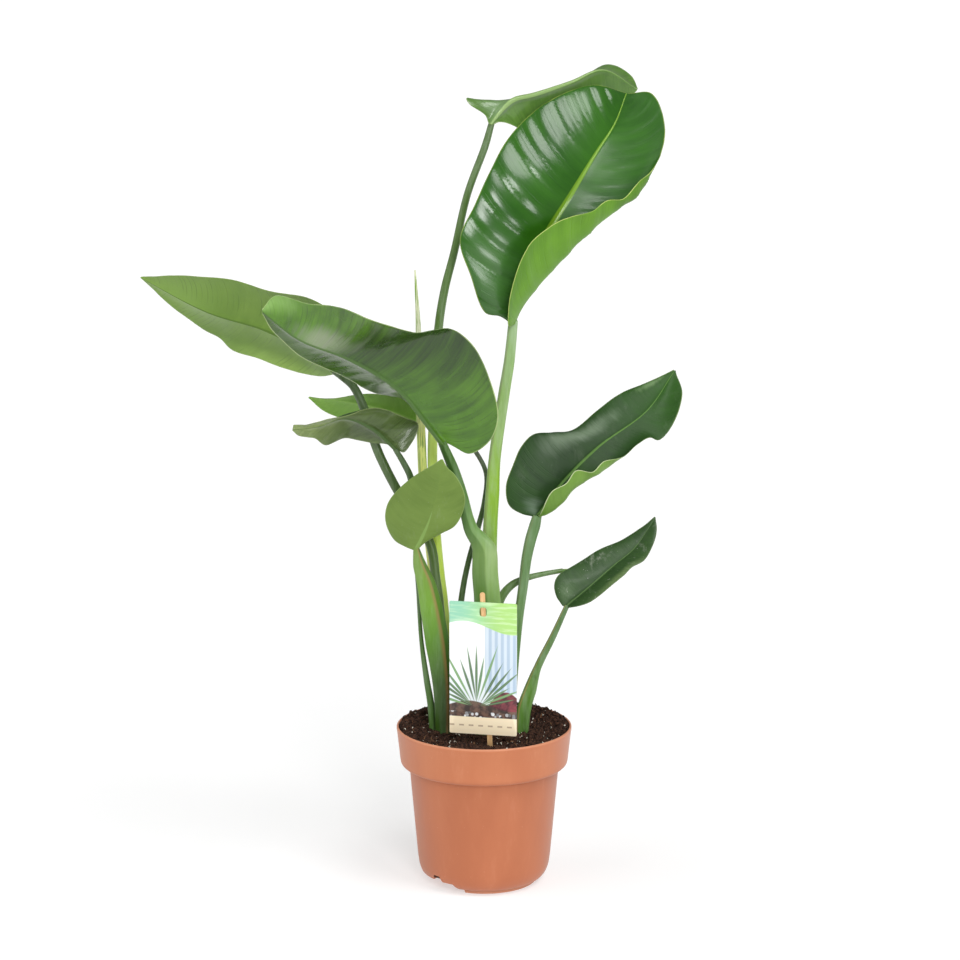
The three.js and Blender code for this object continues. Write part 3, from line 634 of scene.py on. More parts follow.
leaves = {
    "top_front": {
        "midrib": "27 2 553, 54 12 626, 86 33 677, 108 56 710, 126 78 735, 138 103 762",
        "left": "24 2 553, 15 0 559, 1 -4 563, -13 -8 599, -23 -6 633, -9 4 665, 5 18 694, "
                "25 42 727, 58 66 755, 103 90 771, 137 103 763",
        "right": "30 1 552, 23 -14 552, 26 -28 589, 41 -30 630, 71 -18 652, 101 -6 660, 116 4 669, "
                 "132 12 670, 146 20 684, 162 36 697, 174 66 730, 162 92 763, 140 103 762",
        "rightFold": "28 3 552, 40 6 572, 58 10 594, 89 14 626, 117 22 652, 146 36 678, "
                     "149 58 711, 147 80 743, 139 103 762",
        "stations": "4 7 118 14 12, 4 7 219 14 11, 5 7 280 14 10, 6 6 353 14 10, 8 5 386 13.5 9.5, "
                    "10 5 419 11.6 9, 19 4 484 11 8, 24 3 516 10.4 7.5",
        "neck": (9, 5),
    },
    "top_back": {
        "midrib": "6 45 737, 15 48 749, 27 54 759, 49 66 764, 84 88 774, 115 108 784, 150 132 764",
        "left": "8 45 736, 14 46 739, 30 56 734, 59 78 711, 98 104 715, 131 122 743, 150 132 763",
        "right": "4 45 738, 1 43 746, -14 40 757, -17 44 762, -4 58 758, 23 80 756, 57 112 763, "
                 "94 138 775, 121 148 787, 145 142 776, 151 133 764",
        "stations": "-38 19 118 9 9, -37 18 237 9 9, -40 18 277 9.5 9, -43 18 302 9.5 9, "
                    "-47 18 347 9.5 9, -50 21 416 9.5 9, -48 24 474 9 8.5, -44 28 542 8.5 8, "
                    "-38 31 580 8 7.5, -29 34 615 7.5 7, -16 39 671 7 6.5, 1 43 717 7 6",
        "neck": (6, 4.5),
    },
    "far_left": {
        "midrib": "-143 16 503, -177 20 526, -212 26 543, -266 36 558, -332 52 589",
        "left": "-141 16 505, -129 2 524, -138 -12 559, -166 -18 579, -205 -8 585, -244 6 594, "
                "-280 20 595, -307 34 593, -331 52 590",
        "right": "-145 17 500, -157 36 495, -170 52 494, -199 62 500, -221 68 507, -246 72 515, "
                 "-258 72 527, -274 72 535, -306 62 562, -331 52 588",
        "stations": "-41 10 118 8 8, -41 8 239 8.5 8, -44 7 280 9 8, -47 7 302 9 8.5, "
                    "-52 9 334 9.5 8.5, -67 13 360 9.5 8.5, -84 15 387 9 8.5, -99 15 417 9 8, "
                    "-105 15 432 9 8, -117 15 471 8.5 8, -126 16 489 8 7.5, -136 16 498 7.5 7",
        "neck": (6.5, 5),
    },
    "big_left": {
        "midrib": "-39 -18 439, -53 -22 458, -82 -36 496, -127 -64 529, -170 -96 552, "
                  "-202 -120 581",
        "left": "-36 -18 441, -28 -19 436, -14 -21 430, 5 -26 443, 13 -32 465, 8 -42 497, "
                "-10 -52 539, -32 -60 556, -63 -72 555, -96 -88 566, -129 -104 582, -160 -114 588, "
                "-190 -120 596, -202 -121 584",
        "right": "-41 -17 440, -51 -8 447, -64 4 463, -78 10 477, -91 4 481, -104 -6 486, "
                 "-143 -40 513, -168 -66 529, -182 -86 545, -195 -104 562, -202 -119 579",
        "stations": "4 -8 118 24 7, 3 -9 224 26 7, 3 -10 284 25.6 6.5, 1 -10 309 25.2 6.5, "
                    "0 -10 333 24 7, -5 -10 343 18 7.5, -12 -11 353 14 8, -16 -11 365 12 8.5, "
                    "-22 -12 390 11 8.5, -30 -14 415 10.5 8",
        "neck": (8, 5),
    },
    "upper_small": {
        "midrib": "-58 36 447, -91 38 460, -130 42 469, -171 48 472",
        "left": "-58 36 449, -66 33 464, -81 31 475, -104 30 479, -128 32 477, -152 40 472, "
                "-170 48 473",
        "right": "-59 37 445, -76 54 436, -107 62 436, -141 62 449, -156 56 457, -170 48 471",
        "stations": "-28 12 118 6 6, -25 14 238 6 6, -22 16 279 6 6, -16 18 312 5.5 5.5, "
                    "-5 20 352 5.5 5.5, 0 21 373 5 5, 2 24 401 4.5 4.5, -6 27 419 4.5 4.5, "
                    "-20 30 435 4.5 4.5, -38 33 443 4.5 4",
        "neck": (4, 3.6),
    },
    "lower_small": {
        "midrib": "-84 0 429, -92 -3 438, -109 -12 454, -133 -22 465, -157 -32 459, -181 -41 457",
        "left": "-82 0 429, -77 1 427, -70 4 435, -65 6 444, -63 7 453, -73 -3 460, -92 -18 472, "
                "-114 -30 474, -135 -38 469, -166 -42 463, -180 -42 462",
        "right": "-86 0 430, -92 0 435, -110 1 437, -122 0 439, -134 -2 441, -144 -8 439, "
                 "-152 -14 437, -162 -24 446, -175 -36 450, -181 -41 456",
        "stations": "-48 2 118 8 6, -52 2 175 7 5.5, -56 1 201 6 5, -61 0 241 4.2 4.2, "
                    "-64 -1 290 3.6 3.6, -66 0 321 4 4, -67 1 351 5 5, -68 1 380 6 5.5, "
                    "-71 1 403 6.5 5.5, -77 1 416 6 5",
        "neck": (5, 4),
    },
    "front_cupped": {
        "midrib": "-66 -16 335, -60 -22 348, -52 -30 368, -44 -39 399, -40 -48 430",
        "left": "-64 -16 336, -55 -19 344, -41 -22 352, -27 -27 362, -18 -34 389, -27 -42 413, "
                "-35 -46 422, -39 -48 430",
        "right": "-69 -16 335, -76 -12 337, -86 -8 342, -93 -7 354, -95 -9 367, -91 -14 383, "
                 "-71 -30 407, -50 -43 423, -41 -48 430",
        "stations": "-40 -6 118 14 7, -40 -7 193 19 7, -45 -9 239 23.5 6, -51 -11 276 22 6, "
                    "-56 -13 301 18 6, -62 -15 320 13 6",
        "neck": (6, 4.5),
    },
    "right_middle": {
        "midrib": "50 6 362, 75 14 394, 111 30 427, 159 55 458, 187 81 493",
        "left": "47 6 363, 36 4 366, 24 5 374, 21 8 392, 28 15 412, 36 22 429, 48 28 440, "
                "66 33 440, 84 38 441, 110 50 459, 136 62 475, 171 76 487, 186 81 494",
        "right": "53 6 363, 56 -8 373, 65 -16 393, 78 -14 400, 88 -8 411, 104 -2 408, 115 8 417, "
                 "135 18 420, 149 28 429, 161 35 435, 170 38 432, 186 50 449, 194 66 473, "
                 "188 81 492",
        "rightFold": "52 5 363, 61 -2 367, 75 -4 378, 86 -2 391, 100 6 399, 111 14 405, "
                     "123 22 412, 149 40 437, 167 50 447, 180 66 468, 188 81 493",
        "stations": "27 8 118 8 8, 28 8 189 8.5 8, 31 8 234 9 8, 34 8 264 9 8, 38 8 294 9.5 8, "
                    "41 7 320 10 8, 45 6 340 11 7.5, 49 6 354 11 7",
        "neck": (9, 5),
    },
    "right_low": {
        "midrib": "79 2 274, 102 8 292, 126 18 311, 147 30 326, 168 46 353",
        "left": "76 2 275, 70 4 284, 68 7 294, 71 10 302, 84 16 310, 109 27 323, 136 36 334, "
                "152 42 342, 167 46 354",
        "right": "81 1 273, 91 -8 277, 101 -12 282, 118 -8 293, 135 2 305, 143 8 312, 156 16 317, "
                 "166 28 333, 169 38 343, 168 46 352",
        "stations": "36 -3 118 12 8, 39 -3 172 14 8, 45 -2 192 12.5 7.5, 52 -2 214 7.5 6.5, "
                    "67 0 245 6.5 6",
        "neck": (5, 4),
    },
    "right_hidden": {
        "midrib": "75 30 303, 99 36 307, 119 42 311, 141 50 319",
        "left": "76 30 305, 90 35 305, 108 41 309, 126 47 316, 140 50 321",
        "right": "76 30 301, 88 26 294, 106 28 291, 125 38 301, 140 50 318",
        "stations": "6 20 118 8 7, 8 21 216 8 7, 12 22 262 8.5 7, 18 23 280 8.5 7, "
                    "28 24 291 7.5 6, 42 26 297 6 5, 60 28 301 5 4.5",
        "neck": (4.5, 3.6),
    },
}
spear = points_in("-40 29 118 9 9, -42 28 203 9 9, -47 27 275 9 9, -53 25 330 9 9, -59 22 396 9 9, "
                  "-61 20 445 8.5 8, -63 19 494 7 7, -63 18 541 5.5 5.5, -66 17 601 1.4 1.4")
for leaf in leaves.values():
    leaf.update({part: points_in(text) for part, text in leaf.items() if part != "neck"})
print(len(leaves), "leaves and the spear")

# %% [markdown]
# Each leaf has its own age and so its own colours: the tallest is deep and very glossy, the small
# front one is matt and olive, the two low ones at the right are dark and a little dusty. Several
# also carry painted light and shade: soft patches of highlight, sheen or shade, a half painted in
# shade, and painted shade in the creases.

# %% Looks of the leaves
looks = {
    "top_front": {
        "spacing": 21, "pleat": 2.8, "calm": 0.8, "keel": 3.4, "ripple": 0.4, "slot": "glossy_leaf",
        # The patch on the upper face paints highlights on the lower left lobe.
        "upper": dict(deep=(30, 78, 10), light=(50, 104, 18), rib=(118, 160, 30), gloss=0.24,
                      coat=0.42, vein=0.15, rib_width=8.5, relief=0.0002, margin=(180, 196, 96),
                      dull_half=0.4, painted_light_and_tint_patches=[(0.16, -0.55, 0.22, 0.6, (104, 146, 90), 0.3)]),
        "under": dict(deep=(86, 136, 24), light=(108, 158, 34), rib=(150, 184, 84), gloss=0.42,
                      vein=0.1, margin=(196, 210, 120), edging=0.8,
                      painted_light_and_tint_patches=[(0.75, 0.85, 0.4, 0.4, (70, 108, 28), 0.7),
                               (0.2, 1.0, 0.3, 0.3, (72, 116, 26), 0.6)]),
    },
    "top_back": {
        "spacing": 19, "pleat": 0.8, "keel": 2.6, "ripple": 0.8, "slot": "pale_leaf",
        "upper": dict(deep=(40, 86, 22), light=(66, 118, 36), rib=(150, 190, 80), gloss=0.3,
                      coat=0.4),
        # On the underside the creases are painted shade, and the patch paints a pale sheen near the
        # base.
        "under": dict(deep=(66, 104, 34), light=(98, 136, 58), rib=(142, 172, 104), gloss=0.32,
                      coat=0.4, margin=(180, 196, 140), crease_shade=(44, 74, 28), rib_width=2.6,
                      painted_light_and_tint_patches=[(0.12, 0.2, 0.16, 0.8, (146, 166, 140), 0.3)]),
    },
    "far_left": {
        "spacing": 21, "pleat": 0.4, "keel": 2.2, "ripple": 0.5, "slot": "pale_leaf",
        "upper": dict(deep=(44, 92, 24), light=(70, 122, 40), rib=(150, 190, 80), gloss=0.35,
                      coat=0.2),
        "under": dict(deep=(90, 124, 40), light=(116, 148, 58), rib=(82, 114, 38), vein=0.08,
                      rib_width=3.6, edging=0.35, margin=(150, 170, 100), crease_shade=(72, 100, 34),
                      coat=0.05,
                      painted_light_and_tint_patches=[(0.85, 0.0, 0.35, 2.0, (132, 164, 80), 0.5),
                               (0.3, 1.0, 0.35, 0.4, (146, 180, 84), 0.7)]),
    },
    "big_left": {
        "spacing": 16, "pleat": 0.9, "keel": 3.2, "ripple": 0.5, "slot": "pale_leaf",
        "upper": dict(deep=(40, 88, 22), light=(68, 118, 34), rib=(150, 190, 80), gloss=0.32,
                      coat=0.3),
        # Painted on this underside: shade on the far half and in the creases, a highlight at the
        # tip, grey sheens near the rib and the neck, and a dark band of shade across the middle.
        "under": dict(deep=(42, 80, 8), light=(88, 136, 24), rib=(64, 100, 28), gloss=0.28,
                      coat=0.6, vein=0.12, rib_width=6.5, margin=(190, 208, 140), edging=0.7,
                      crease_shade=(30, 56, 6), painted_shade_half=(50, 78, 22), cloud=0.7,
                      painted_light_and_tint_patches=[(0.5, -0.6, 0.34, 1.5, (30, 52, 18), 0.9),
                               (0.72, -0.15, 0.16, 0.4, (152, 160, 136), 0.7),
                               (0.97, -0.75, 0.11, 0.7, (146, 190, 100), 0.7),
                               (0.3, 0.7, 0.25, 0.6, (104, 128, 84), 0.6)]),
    },
    "upper_small": {
        "spacing": 13, "pleat": 0.2, "keel": 1.6, "ripple": 0.3, "slot": "pale_leaf",
        "upper": dict(deep=(60, 108, 34), light=(86, 136, 50), rib=(140, 180, 90)),
        "under": dict(deep=(104, 150, 52), light=(128, 172, 70), rib=(140, 180, 88), gloss=0.5,
                      vein=0.08, edging=0.3),
    },
    "lower_small": {
        "spacing": 11, "pleat": 0.6, "keel": 1.8, "ripple": 0.9, "slot": "dull_leaf",
        "upper": dict(deep=(44, 74, 28), light=(66, 98, 42), rib=(110, 140, 90), gloss=0.42),
        # On the underside the creases are painted shade, and the first patch paints a pale sheen at
        # the tip.
        "under": dict(deep=(58, 80, 30), light=(98, 118, 66), rib=(60, 90, 30), gloss=0.34,
                      vein=0.25, margin=(164, 176, 130), rib_width=3.6, crease_shade=(36, 50, 22),
                      coat=0.4,
                      painted_light_and_tint_patches=[(0.95, 0.0, 0.5, 3.0, (132, 150, 90), 1.0),
                               (0.3, 0.4, 0.3, 1.0, (44, 60, 26), 0.7)]),
    },
    "front_cupped": {
        "cupped": True, "spacing": 12, "pleat": 0.2, "keel": 1.3, "ripple": 0.3,
        "slot": "pale_leaf",
        "upper": dict(deep=(60, 104, 34), light=(84, 132, 48), rib=(140, 180, 90)),
        "under": dict(deep=(90, 116, 44), light=(110, 136, 60), rib=(128, 158, 84), gloss=0.5,
                      vein=0.05, dusty=0.2, rib_fade=-1.1, margin=(160, 184, 116), cloud=0.8),
    },
    "right_middle": {
        "spacing": 17, "pleat": 0.35, "keel": 2.6, "ripple": 0.7, "slot": "dull_leaf",
        # Painted on this upper face: a sheen across the middle, a highlight near the tip and a pale
        # reflection at the base; the first patch is the tip's own deeper green.
        "upper": dict(deep=(22, 50, 15), light=(37, 73, 18), rib=(92, 130, 60), gloss=0.5,
                      vein=0.12, rib_width=3.4, dusty=0.1, margin=(150, 172, 100), edging=0.4,
                      painted_light_and_tint_patches=[(1.0, 0.0, 0.5, 3.0, (36, 80, 8), 1.0),
                               (0.5, -0.6, 0.24, 0.4, (118, 136, 112), 0.7),
                               (0.88, -0.75, 0.1, 0.3, (146, 176, 126), 0.4),
                               (0.06, -0.4, 0.08, 0.4, (104, 124, 104), 0.6)]),
        "under": dict(deep=(90, 128, 40), light=(114, 150, 60), rib=(150, 184, 100), coat=0.1,
                      margin=(200, 210, 164), edging=0.9),
    },
    "right_low": {
        "spacing": 13, "pleat": 0.3, "keel": 1.8, "ripple": 0.7, "slot": "dull_leaf",
        # The first patch paints a highlight near the base of the upper face.
        "upper": dict(deep=(33, 60, 25), light=(53, 83, 37), rib=(88, 118, 66), gloss=0.46,
                      vein=0.3, rib_width=2.4, dusty=0.75, coat=0.05, margin=(120, 140, 90),
                      edging=0.3,
                      painted_light_and_tint_patches=[(0.12, -0.5, 0.14, 0.5, (104, 128, 92), 0.5),
                               (0.45, 0.9, 0.35, 0.3, (112, 134, 84), 0.6)]),
        "under": dict(deep=(74, 110, 48), light=(98, 134, 62), rib=(130, 164, 88), gloss=0.5),
    },
    "right_hidden": {
        "spacing": 11, "pleat": 0.2, "keel": 1.4, "slot": "dull_leaf",
        "upper": dict(deep=(50, 88, 40), light=(76, 114, 56), rib=(110, 150, 80), gloss=0.42),
        "under": dict(deep=(80, 118, 52), light=(104, 142, 68), rib=(140, 176, 100), gloss=0.5),
    },
}
print("looks of", len(looks), "leaves")

# %% Make the blades
LONG_LEAF, FIRST_SEED = 150, 40
FINE, COARSE = dict(rows=150, columns=34), dict(rows=90, columns=24)

for number, (key, leaf) in enumerate(leaves.items()):
    look = looks[key]
    plain_name = key.replace("_", " ")
    faces = [blade_material(f"{plain_name} leaf, {face} face", **look[face])
             for face in ("upper", "under")]
    net = FINE if Line(leaf["midrib"]).length > LONG_LEAF else COARSE
    made = blade(f"{key}_blade", leaf, look, faces, seed=FIRST_SEED + number, **net)
    finished(made, look["slot"], f"{key}_leaf")

# %% [markdown]
# ## Stalks
#
# A stalk of this plant is round on one side and has a shallow channel on the other. Low down some
# widen into a thin-edged sheath that wraps the younger stalks. A stalk is a section that follows
# a path, so Geometry Nodes make it. A plain Curve to Mesh would turn the section as it likes; here
# every point of the path carries the two half widths of the section as arrows, and a Set Position
# node puts the ring of the profile on them. One tree serves all the stalks and the spear.

# %% Geometry nodes for a stalk
stalk_tree, given, out = new_group(
    "stalk on a path",
    [("Geometry", "Geometry", None), ("Sides", "Int", 20), ("Channel Width", "Float", 0.5),
     ("Finish", "Material", None)],
    [("Geometry", "Geometry")], "GeometryNodeTree")
t = stalk_tree


def kept(tree, name, kind="FLOAT_VECTOR"):
    found = node(tree, "GeometryNodeInputNamedAttribute", {"Name": name}, data_type=kind)
    return found.outputs["Attribute"]


def arrow(tree, operation, first, second):
    inputs = {0: first, ("Scale" if operation == "SCALE" else 1): second}
    return node(tree, "ShaderNodeVectorMath", inputs, operation=operation).outputs[0]


ring = node(t, "GeometryNodeCurvePrimitiveCircle", {"Resolution": given["Sides"], "Radius": 1.0})
ring = node(t, "GeometryNodeStoreNamedAttribute",
            {"Geometry": ring.outputs["Curve"], "Name": "ring",
             "Value": node(t, "GeometryNodeInputPosition").outputs[0]},
            data_type="FLOAT_VECTOR", domain="POINT")
path = node(t, "GeometryNodeMeshToCurve", {"Mesh": given["Geometry"]})
tube = node(t, "GeometryNodeCurveToMesh",
            {"Curve": path.outputs[0], "Profile Curve": ring.outputs[0], "Fill Caps": True})
turn = parts(t, kept(t, "ring"))
channel = kept(t, "channel", "FLOAT")
wide = calc(t, "/", turn["X"], given["Channel Width"])
bell = calc(t, "EXPONENT", calc(t, "*", calc(t, "*", wide, wide), -1.0))
facing = calc(t, "GREATER_THAN", calc(t, "*", turn["Y"], channel), 0.0)
sink = calc(t, "*", calc(t, "*", bell, facing), calc(t, "ABSOLUTE", channel))
depth = calc(t, "*", turn["Y"], calc(t, "-", 1.0, sink))
spot = arrow(t, "ADD", kept(t, "centre"), arrow(t, "SCALE", kept(t, "half_wide"), turn["X"]))
spot = arrow(t, "ADD", spot, arrow(t, "SCALE", kept(t, "half_deep"), depth))
moved = node(t, "GeometryNodeSetPosition", {"Geometry": tube.outputs[0], "Position": spot})
soft = node(t, "GeometryNodeSetShadeSmooth", {"Geometry": moved.outputs[0]})
real = node(t, "GeometryNodeRealizeInstances", {"Geometry": soft.outputs[0]})
done = node(t, "GeometryNodeSetMaterial",
            {"Geometry": real.outputs[0], "Material": given["Finish"]})
t.links.new(done.outputs[0], out["Geometry"])
print("stalk tree:", len(t.nodes), "nodes")


def run_tree(made, tree, **inputs):
    """Adds the tree as a modifier, sets its named inputs, and keeps the result as a plain mesh."""
    modifier = made.modifiers.new(tree.name, "NODES")
    modifier.node_group = tree
    for item in tree.interface.items_tree:
        key = item.name.replace(" ", "_")
        if item.item_type == "SOCKET" and item.in_out == "INPUT" and key in inputs:
            modifier[item.identifier] = inputs[key]
    return settle(made)


# %% [markdown]
# The path is a chain of points with its arrows. The section's depth points along the view, made
# square to the path, and its width lies across both, as in the solid model.

# %% Path of a stalk
STEP, SIDES = 3.0, 24


def stalk(name, stations, finish, channel):
    """channel gives the channel's depth at a height in mm, and is negative for the front."""
    line = Line(stations)
    count = int(line.length / STEP) + 2
    t = np.linspace(0, 1, count)
    centre = line.at(t)
    way = unit(line.at(np.minimum(t + 0.002, 1)) - line.at(np.maximum(t - 0.002, 0)))
    depth = unit(np.array([0, 1, 0]) - way * way[:, 1:2])
    across = np.cross(depth, way)
    sizes = np.array(stations, float)[:, 3:5]
    spans = t * (len(stations) - 1)
    wide, deep = (np.interp(spans, range(len(stations)), sizes[:, c]) for c in (0, 1))
    arrows = {"centre": centre * MM, "half_wide": across * wide[:, None] * MM / 2,
              "half_deep": depth * deep[:, None] * MM / 2}
    numbers = arrows | {"channel": [channel(z) for z in centre[:, 2]]}
    links = [(i, i + 1) for i in range(count - 1)]
    made = new_mesh(name, centre * MM, [], [], numbers, edges=links)
    run_tree(made, stalk_tree, Sides=SIDES, Finish=finish)
    for label in arrows:
        made.data.attributes.remove(made.data.attributes[label])
    return made


print("stalk path ready")

# %% [markdown]
# The stalks change colour on their way up: dark green near the soil, which on most of them is
# painted shade, yellow-green where they are young, and blue-green with a waxy bloom near the leaf.
# Long fine streaks run up them, and the sheaths have a thin edge, pale or red-brown; one side of a
# sheath can be painted in shade. The streaks are a group; the colours up the stalk are a ramp on
# the object's height.

# %% Long streaks
fibres, given, out = new_group(
    "long streaks",
    [("Fineness", "Float", 700.0), ("Edge Start", "Float", 0.9), ("Edge End", "Float", 0.99)],
    [(label, "Float") for label in ("Streak", "Edge", "Side", "Bloom", "Height")],
)
drawn = stretched(fibres, 1.0, 1.0, 0.03)
streak = noise(fibres, drawn, given["Fineness"], 3.0, 0.6)
ring = node(fibres, "ShaderNodeAttribute", attribute_name="ring").outputs["Vector"]
turn = parts(fibres, ring)["X"]
beyond = fade(fibres, turn, given["Edge Start"], given["Edge End"])
past = fade(fibres, turn, given["Edge End"], calc(fibres, "+", given["Edge End"], 0.15))
wax = stretched(fibres, 1.0, 1.0, 0.18)
bloom = fade(fibres, noise(fibres, wax, 140.0, 4.0, 0.6), 0.35, 0.7)
fine = noise(fibres, drawn, calc(fibres, "*", given["Fineness"], 2.2), 2.0)
for label, value in (("Streak", streak), ("Edge", calc(fibres, "-", beyond, past, clamp=True)),
                     ("Side", turn), ("Bloom", bloom), ("Height", fine)):
    fibres.links.new(value, out[label])
print("long streaks:", len(fibres.nodes), "nodes")


# %% Stalk material
def stalk_material(name, steps, *, bloom, edge=(150, 120, 90), edging=0.0, edge_band=(0.9, 1.2),
                   streaks=0.4, stripe=None, shade=None):
    """steps: (height in mm, colour); stripe: (colour, from, to); shade: (from, to, amount) of
    painted shade.
    """
    material, tree, shader = new_material(name, Specular_IOR_Level=0.4, Coat_Weight=0.1,
                                          Coat_Roughness=0.25)
    found = use(tree, fibres, Edge_Start=edge_band[0], Edge_End=edge_band[1])
    height = parts(tree, place(tree))["Z"]
    low, high = steps[0][0] * MM, steps[-1][0] * MM
    share = node(tree, "ShaderNodeMapRange", {0: height, 1: low, 2: high}).outputs[0]
    ramp = node(tree, "ShaderNodeValToRGB", {0: share})
    stops = ramp.color_ramp.elements
    while len(stops) < len(steps):
        stops.new(0.5)
    for stop, (z, colour) in zip(stops, steps):
        stop.position = (z * MM - low) / (high - low)
        stop.color = paint(*colour)
    colour = ramp.outputs[0]
    darker = mixed(tree, 1.0, colour, (0.74, 0.78, 0.66, 1), "MULTIPLY")
    dark = calc(tree, "*", fade(tree, found["Streak"], 0.4, 0.7), streaks)
    colour = mixed(tree, dark, colour, darker)
    if stripe:
        tint, above, below = stripe
        band = calc(tree, "*", fade(tree, found["Streak"], 0.52, 0.56),
                    fade(tree, height, above * MM, below * MM))
        colour = mixed(tree, band, colour, tint)
    waxy = calc(tree, "*", found["Bloom"], bloom)
    colour = mixed(tree, waxy, colour, (184, 200, 178))
    # Painted shade darkens one side of the section.
    if shade:
        clear, full, amount = shade
        colour = mixed(tree, fade(tree, found["Side"], clear, full, 0.0, amount), colour,
                       mixed(tree, 1.0, colour, (0.42, 0.53, 0.3, 1), "MULTIPLY"))
    if edging:
        colour = mixed(tree, calc(tree, "*", found["Edge"], edging), colour, edge)
    wire(tree, shader, colour, calc(tree, "MULTIPLY_ADD", waxy, 0.3, 0.36))
    bump(tree, shader, found["Height"], 0.0002, 0.3)
    return material


print("stalk material ready")

# %% Make the stalks
stalk_looks = {
    "top_front": dict(
        steps=[(118, (90, 118, 40)), (300, (112, 154, 30)), (400, (130, 172, 40)),
               (450, (136, 172, 84)), (553, (138, 170, 114))],
        bloom=0.25, edging=0.3, edge=(168, 138, 128), edge_band=(-0.85, -0.7),
        channel=lambda z: -0.3),
    # From 330 to 460 mm this stalk is painted lighter, against the shade of the big left leaf over
    # it.
    "top_back": dict(
        steps=[(118, (128, 138, 60)), (330, (190, 218, 74)), (460, (206, 232, 112)),
               (500, (92, 126, 52)), (737, (78, 104, 56))],
        bloom=0.15, channel=lambda z: 0.3),
    "far_left": dict(
        steps=[(118, (84, 112, 42)), (330, (71, 97, 38)), (503, (63, 88, 40))], bloom=0.1,
        channel=lambda z: 0.3),
    "big_left": dict(
        steps=[(118, (80, 116, 44)), (260, (106, 146, 66)), (330, (136, 166, 96)),
               (350, (104, 142, 70)), (390, (76, 116, 46)), (439, (70, 108, 38))],
        bloom=0.12, edging=0.6, edge=(206, 210, 160), shade=(0.12, -0.12, 0.85),
        channel=lambda z: 0.85 if z < 350 else 0.3),
    "upper_small": dict(
        steps=[(118, (72, 104, 36)), (380, (62, 88, 42)), (447, (96, 98, 84))], bloom=0.12,
        channel=lambda z: 0.0),
    "lower_small": dict(
        steps=[(118, (66, 106, 30)), (300, (66, 100, 36)), (429, (64, 90, 42))], bloom=0.12,
        channel=lambda z: 0.25),
    # Low down this sheath is painted darker, as shade from the card and the stalks around it, and
    # its folded side is painted in shade.
    "front_cupped": dict(
        steps=[(118, (40, 70, 10)), (200, (54, 88, 12)), (245, (84, 130, 24)),
               (280, (108, 152, 42)), (335, (112, 142, 58))],
        bloom=0.1, edging=0.65, edge=(150, 108, 66), edge_band=(0.15, 0.5),
        shade=(0.45, 0.62, 0.85), channel=lambda z: 0.8),
    "right_middle": dict(
        steps=[(118, (72, 108, 42)), (240, (84, 124, 58)), (362, (92, 126, 74))], bloom=0.15,
        edging=0.3, edge=(150, 130, 100), edge_band=(-0.8, -0.65), channel=lambda z: -0.3),
    "right_low": dict(
        steps=[(118, (64, 108, 28)), (195, (90, 134, 44)), (225, (84, 120, 58)),
               (274, (74, 106, 56))],
        bloom=0.15, edging=0.7, edge=(168, 146, 92), edge_band=(-0.9, -0.7),
        channel=lambda z: -0.55 if z < 205 else -0.25),
    "right_hidden": dict(
        steps=[(118, (76, 106, 42)), (303, (92, 124, 62))], bloom=0.15, channel=lambda z: 0.25),
}
for key, leaf in leaves.items():
    look = dict(stalk_looks[key])
    channel = look.pop("channel")
    finish = stalk_material(key.replace("_", " ") + " stalk", **look)
    first, then = (np.array(p, float) for p in leaf["midrib"][:2])
    wide, deep = leaf["neck"]
    reach = unit(then - first)
    stations = leaf["stations"] + [[*(first + 2 * reach), wide, deep]]
    made = stalk(f"{key}_stem", stations, finish, channel)
    finished(made, "sheath" if key in ("big_left", "front_cupped") else "stalk", f"{key}_stalk")

# %% [markdown]
# The spear is the next leaf, still rolled. Its wrapped blade shows as long cream and green bands
# that wind up it a little.

# %% Make the spear
spear_finish = stalk_material(
    "rolled new leaf",
    [(118, (150, 156, 80)), (300, (202, 210, 98)), (440, (218, 226, 124)), (500, (234, 238, 208)),
     (601, (216, 222, 178))],
    bloom=0.1, stripe=((128, 164, 64), 330, 470), streaks=0.15)
made = stalk("rolled_spear", spear, spear_finish, lambda z: -0.35 if z > 430 else 0.2)
finished(made, "sheath", "spear")

# %% [markdown]
# ## Pot
#
# The pot is injection moulded: a tapered wall, a deep band under the lip for stacking, a low ring
# to stand on, and two pockets in the underside that let water out at the side. A profile turned
# round the axis gives the wall. Boolean modifiers cut the pockets, which is safe because both
# shapes are closed.

# %% Profile of the pot
def rounded(profile, radii):
    """Replaces corners of a profile by small arcs; radii maps the corner's number to its size."""
    path = []
    for k, corner in enumerate(profile):
        if k not in radii:
            path.append(list(corner))
            continue
        here = np.array(corner, float)
        legs = [np.array(profile[k + s], float) - here for s in (-1, 1)]
        cut = min([radii[k]] + [0.45 * np.linalg.norm(leg) for leg in legs])
        a, b = (here + unit(leg) * cut for leg in legs)
        for s in np.linspace(0, 1, 5):
            path.append(list((1 - s) ** 2 * a + 2 * s * (1 - s) * here + s**2 * b))
    return path


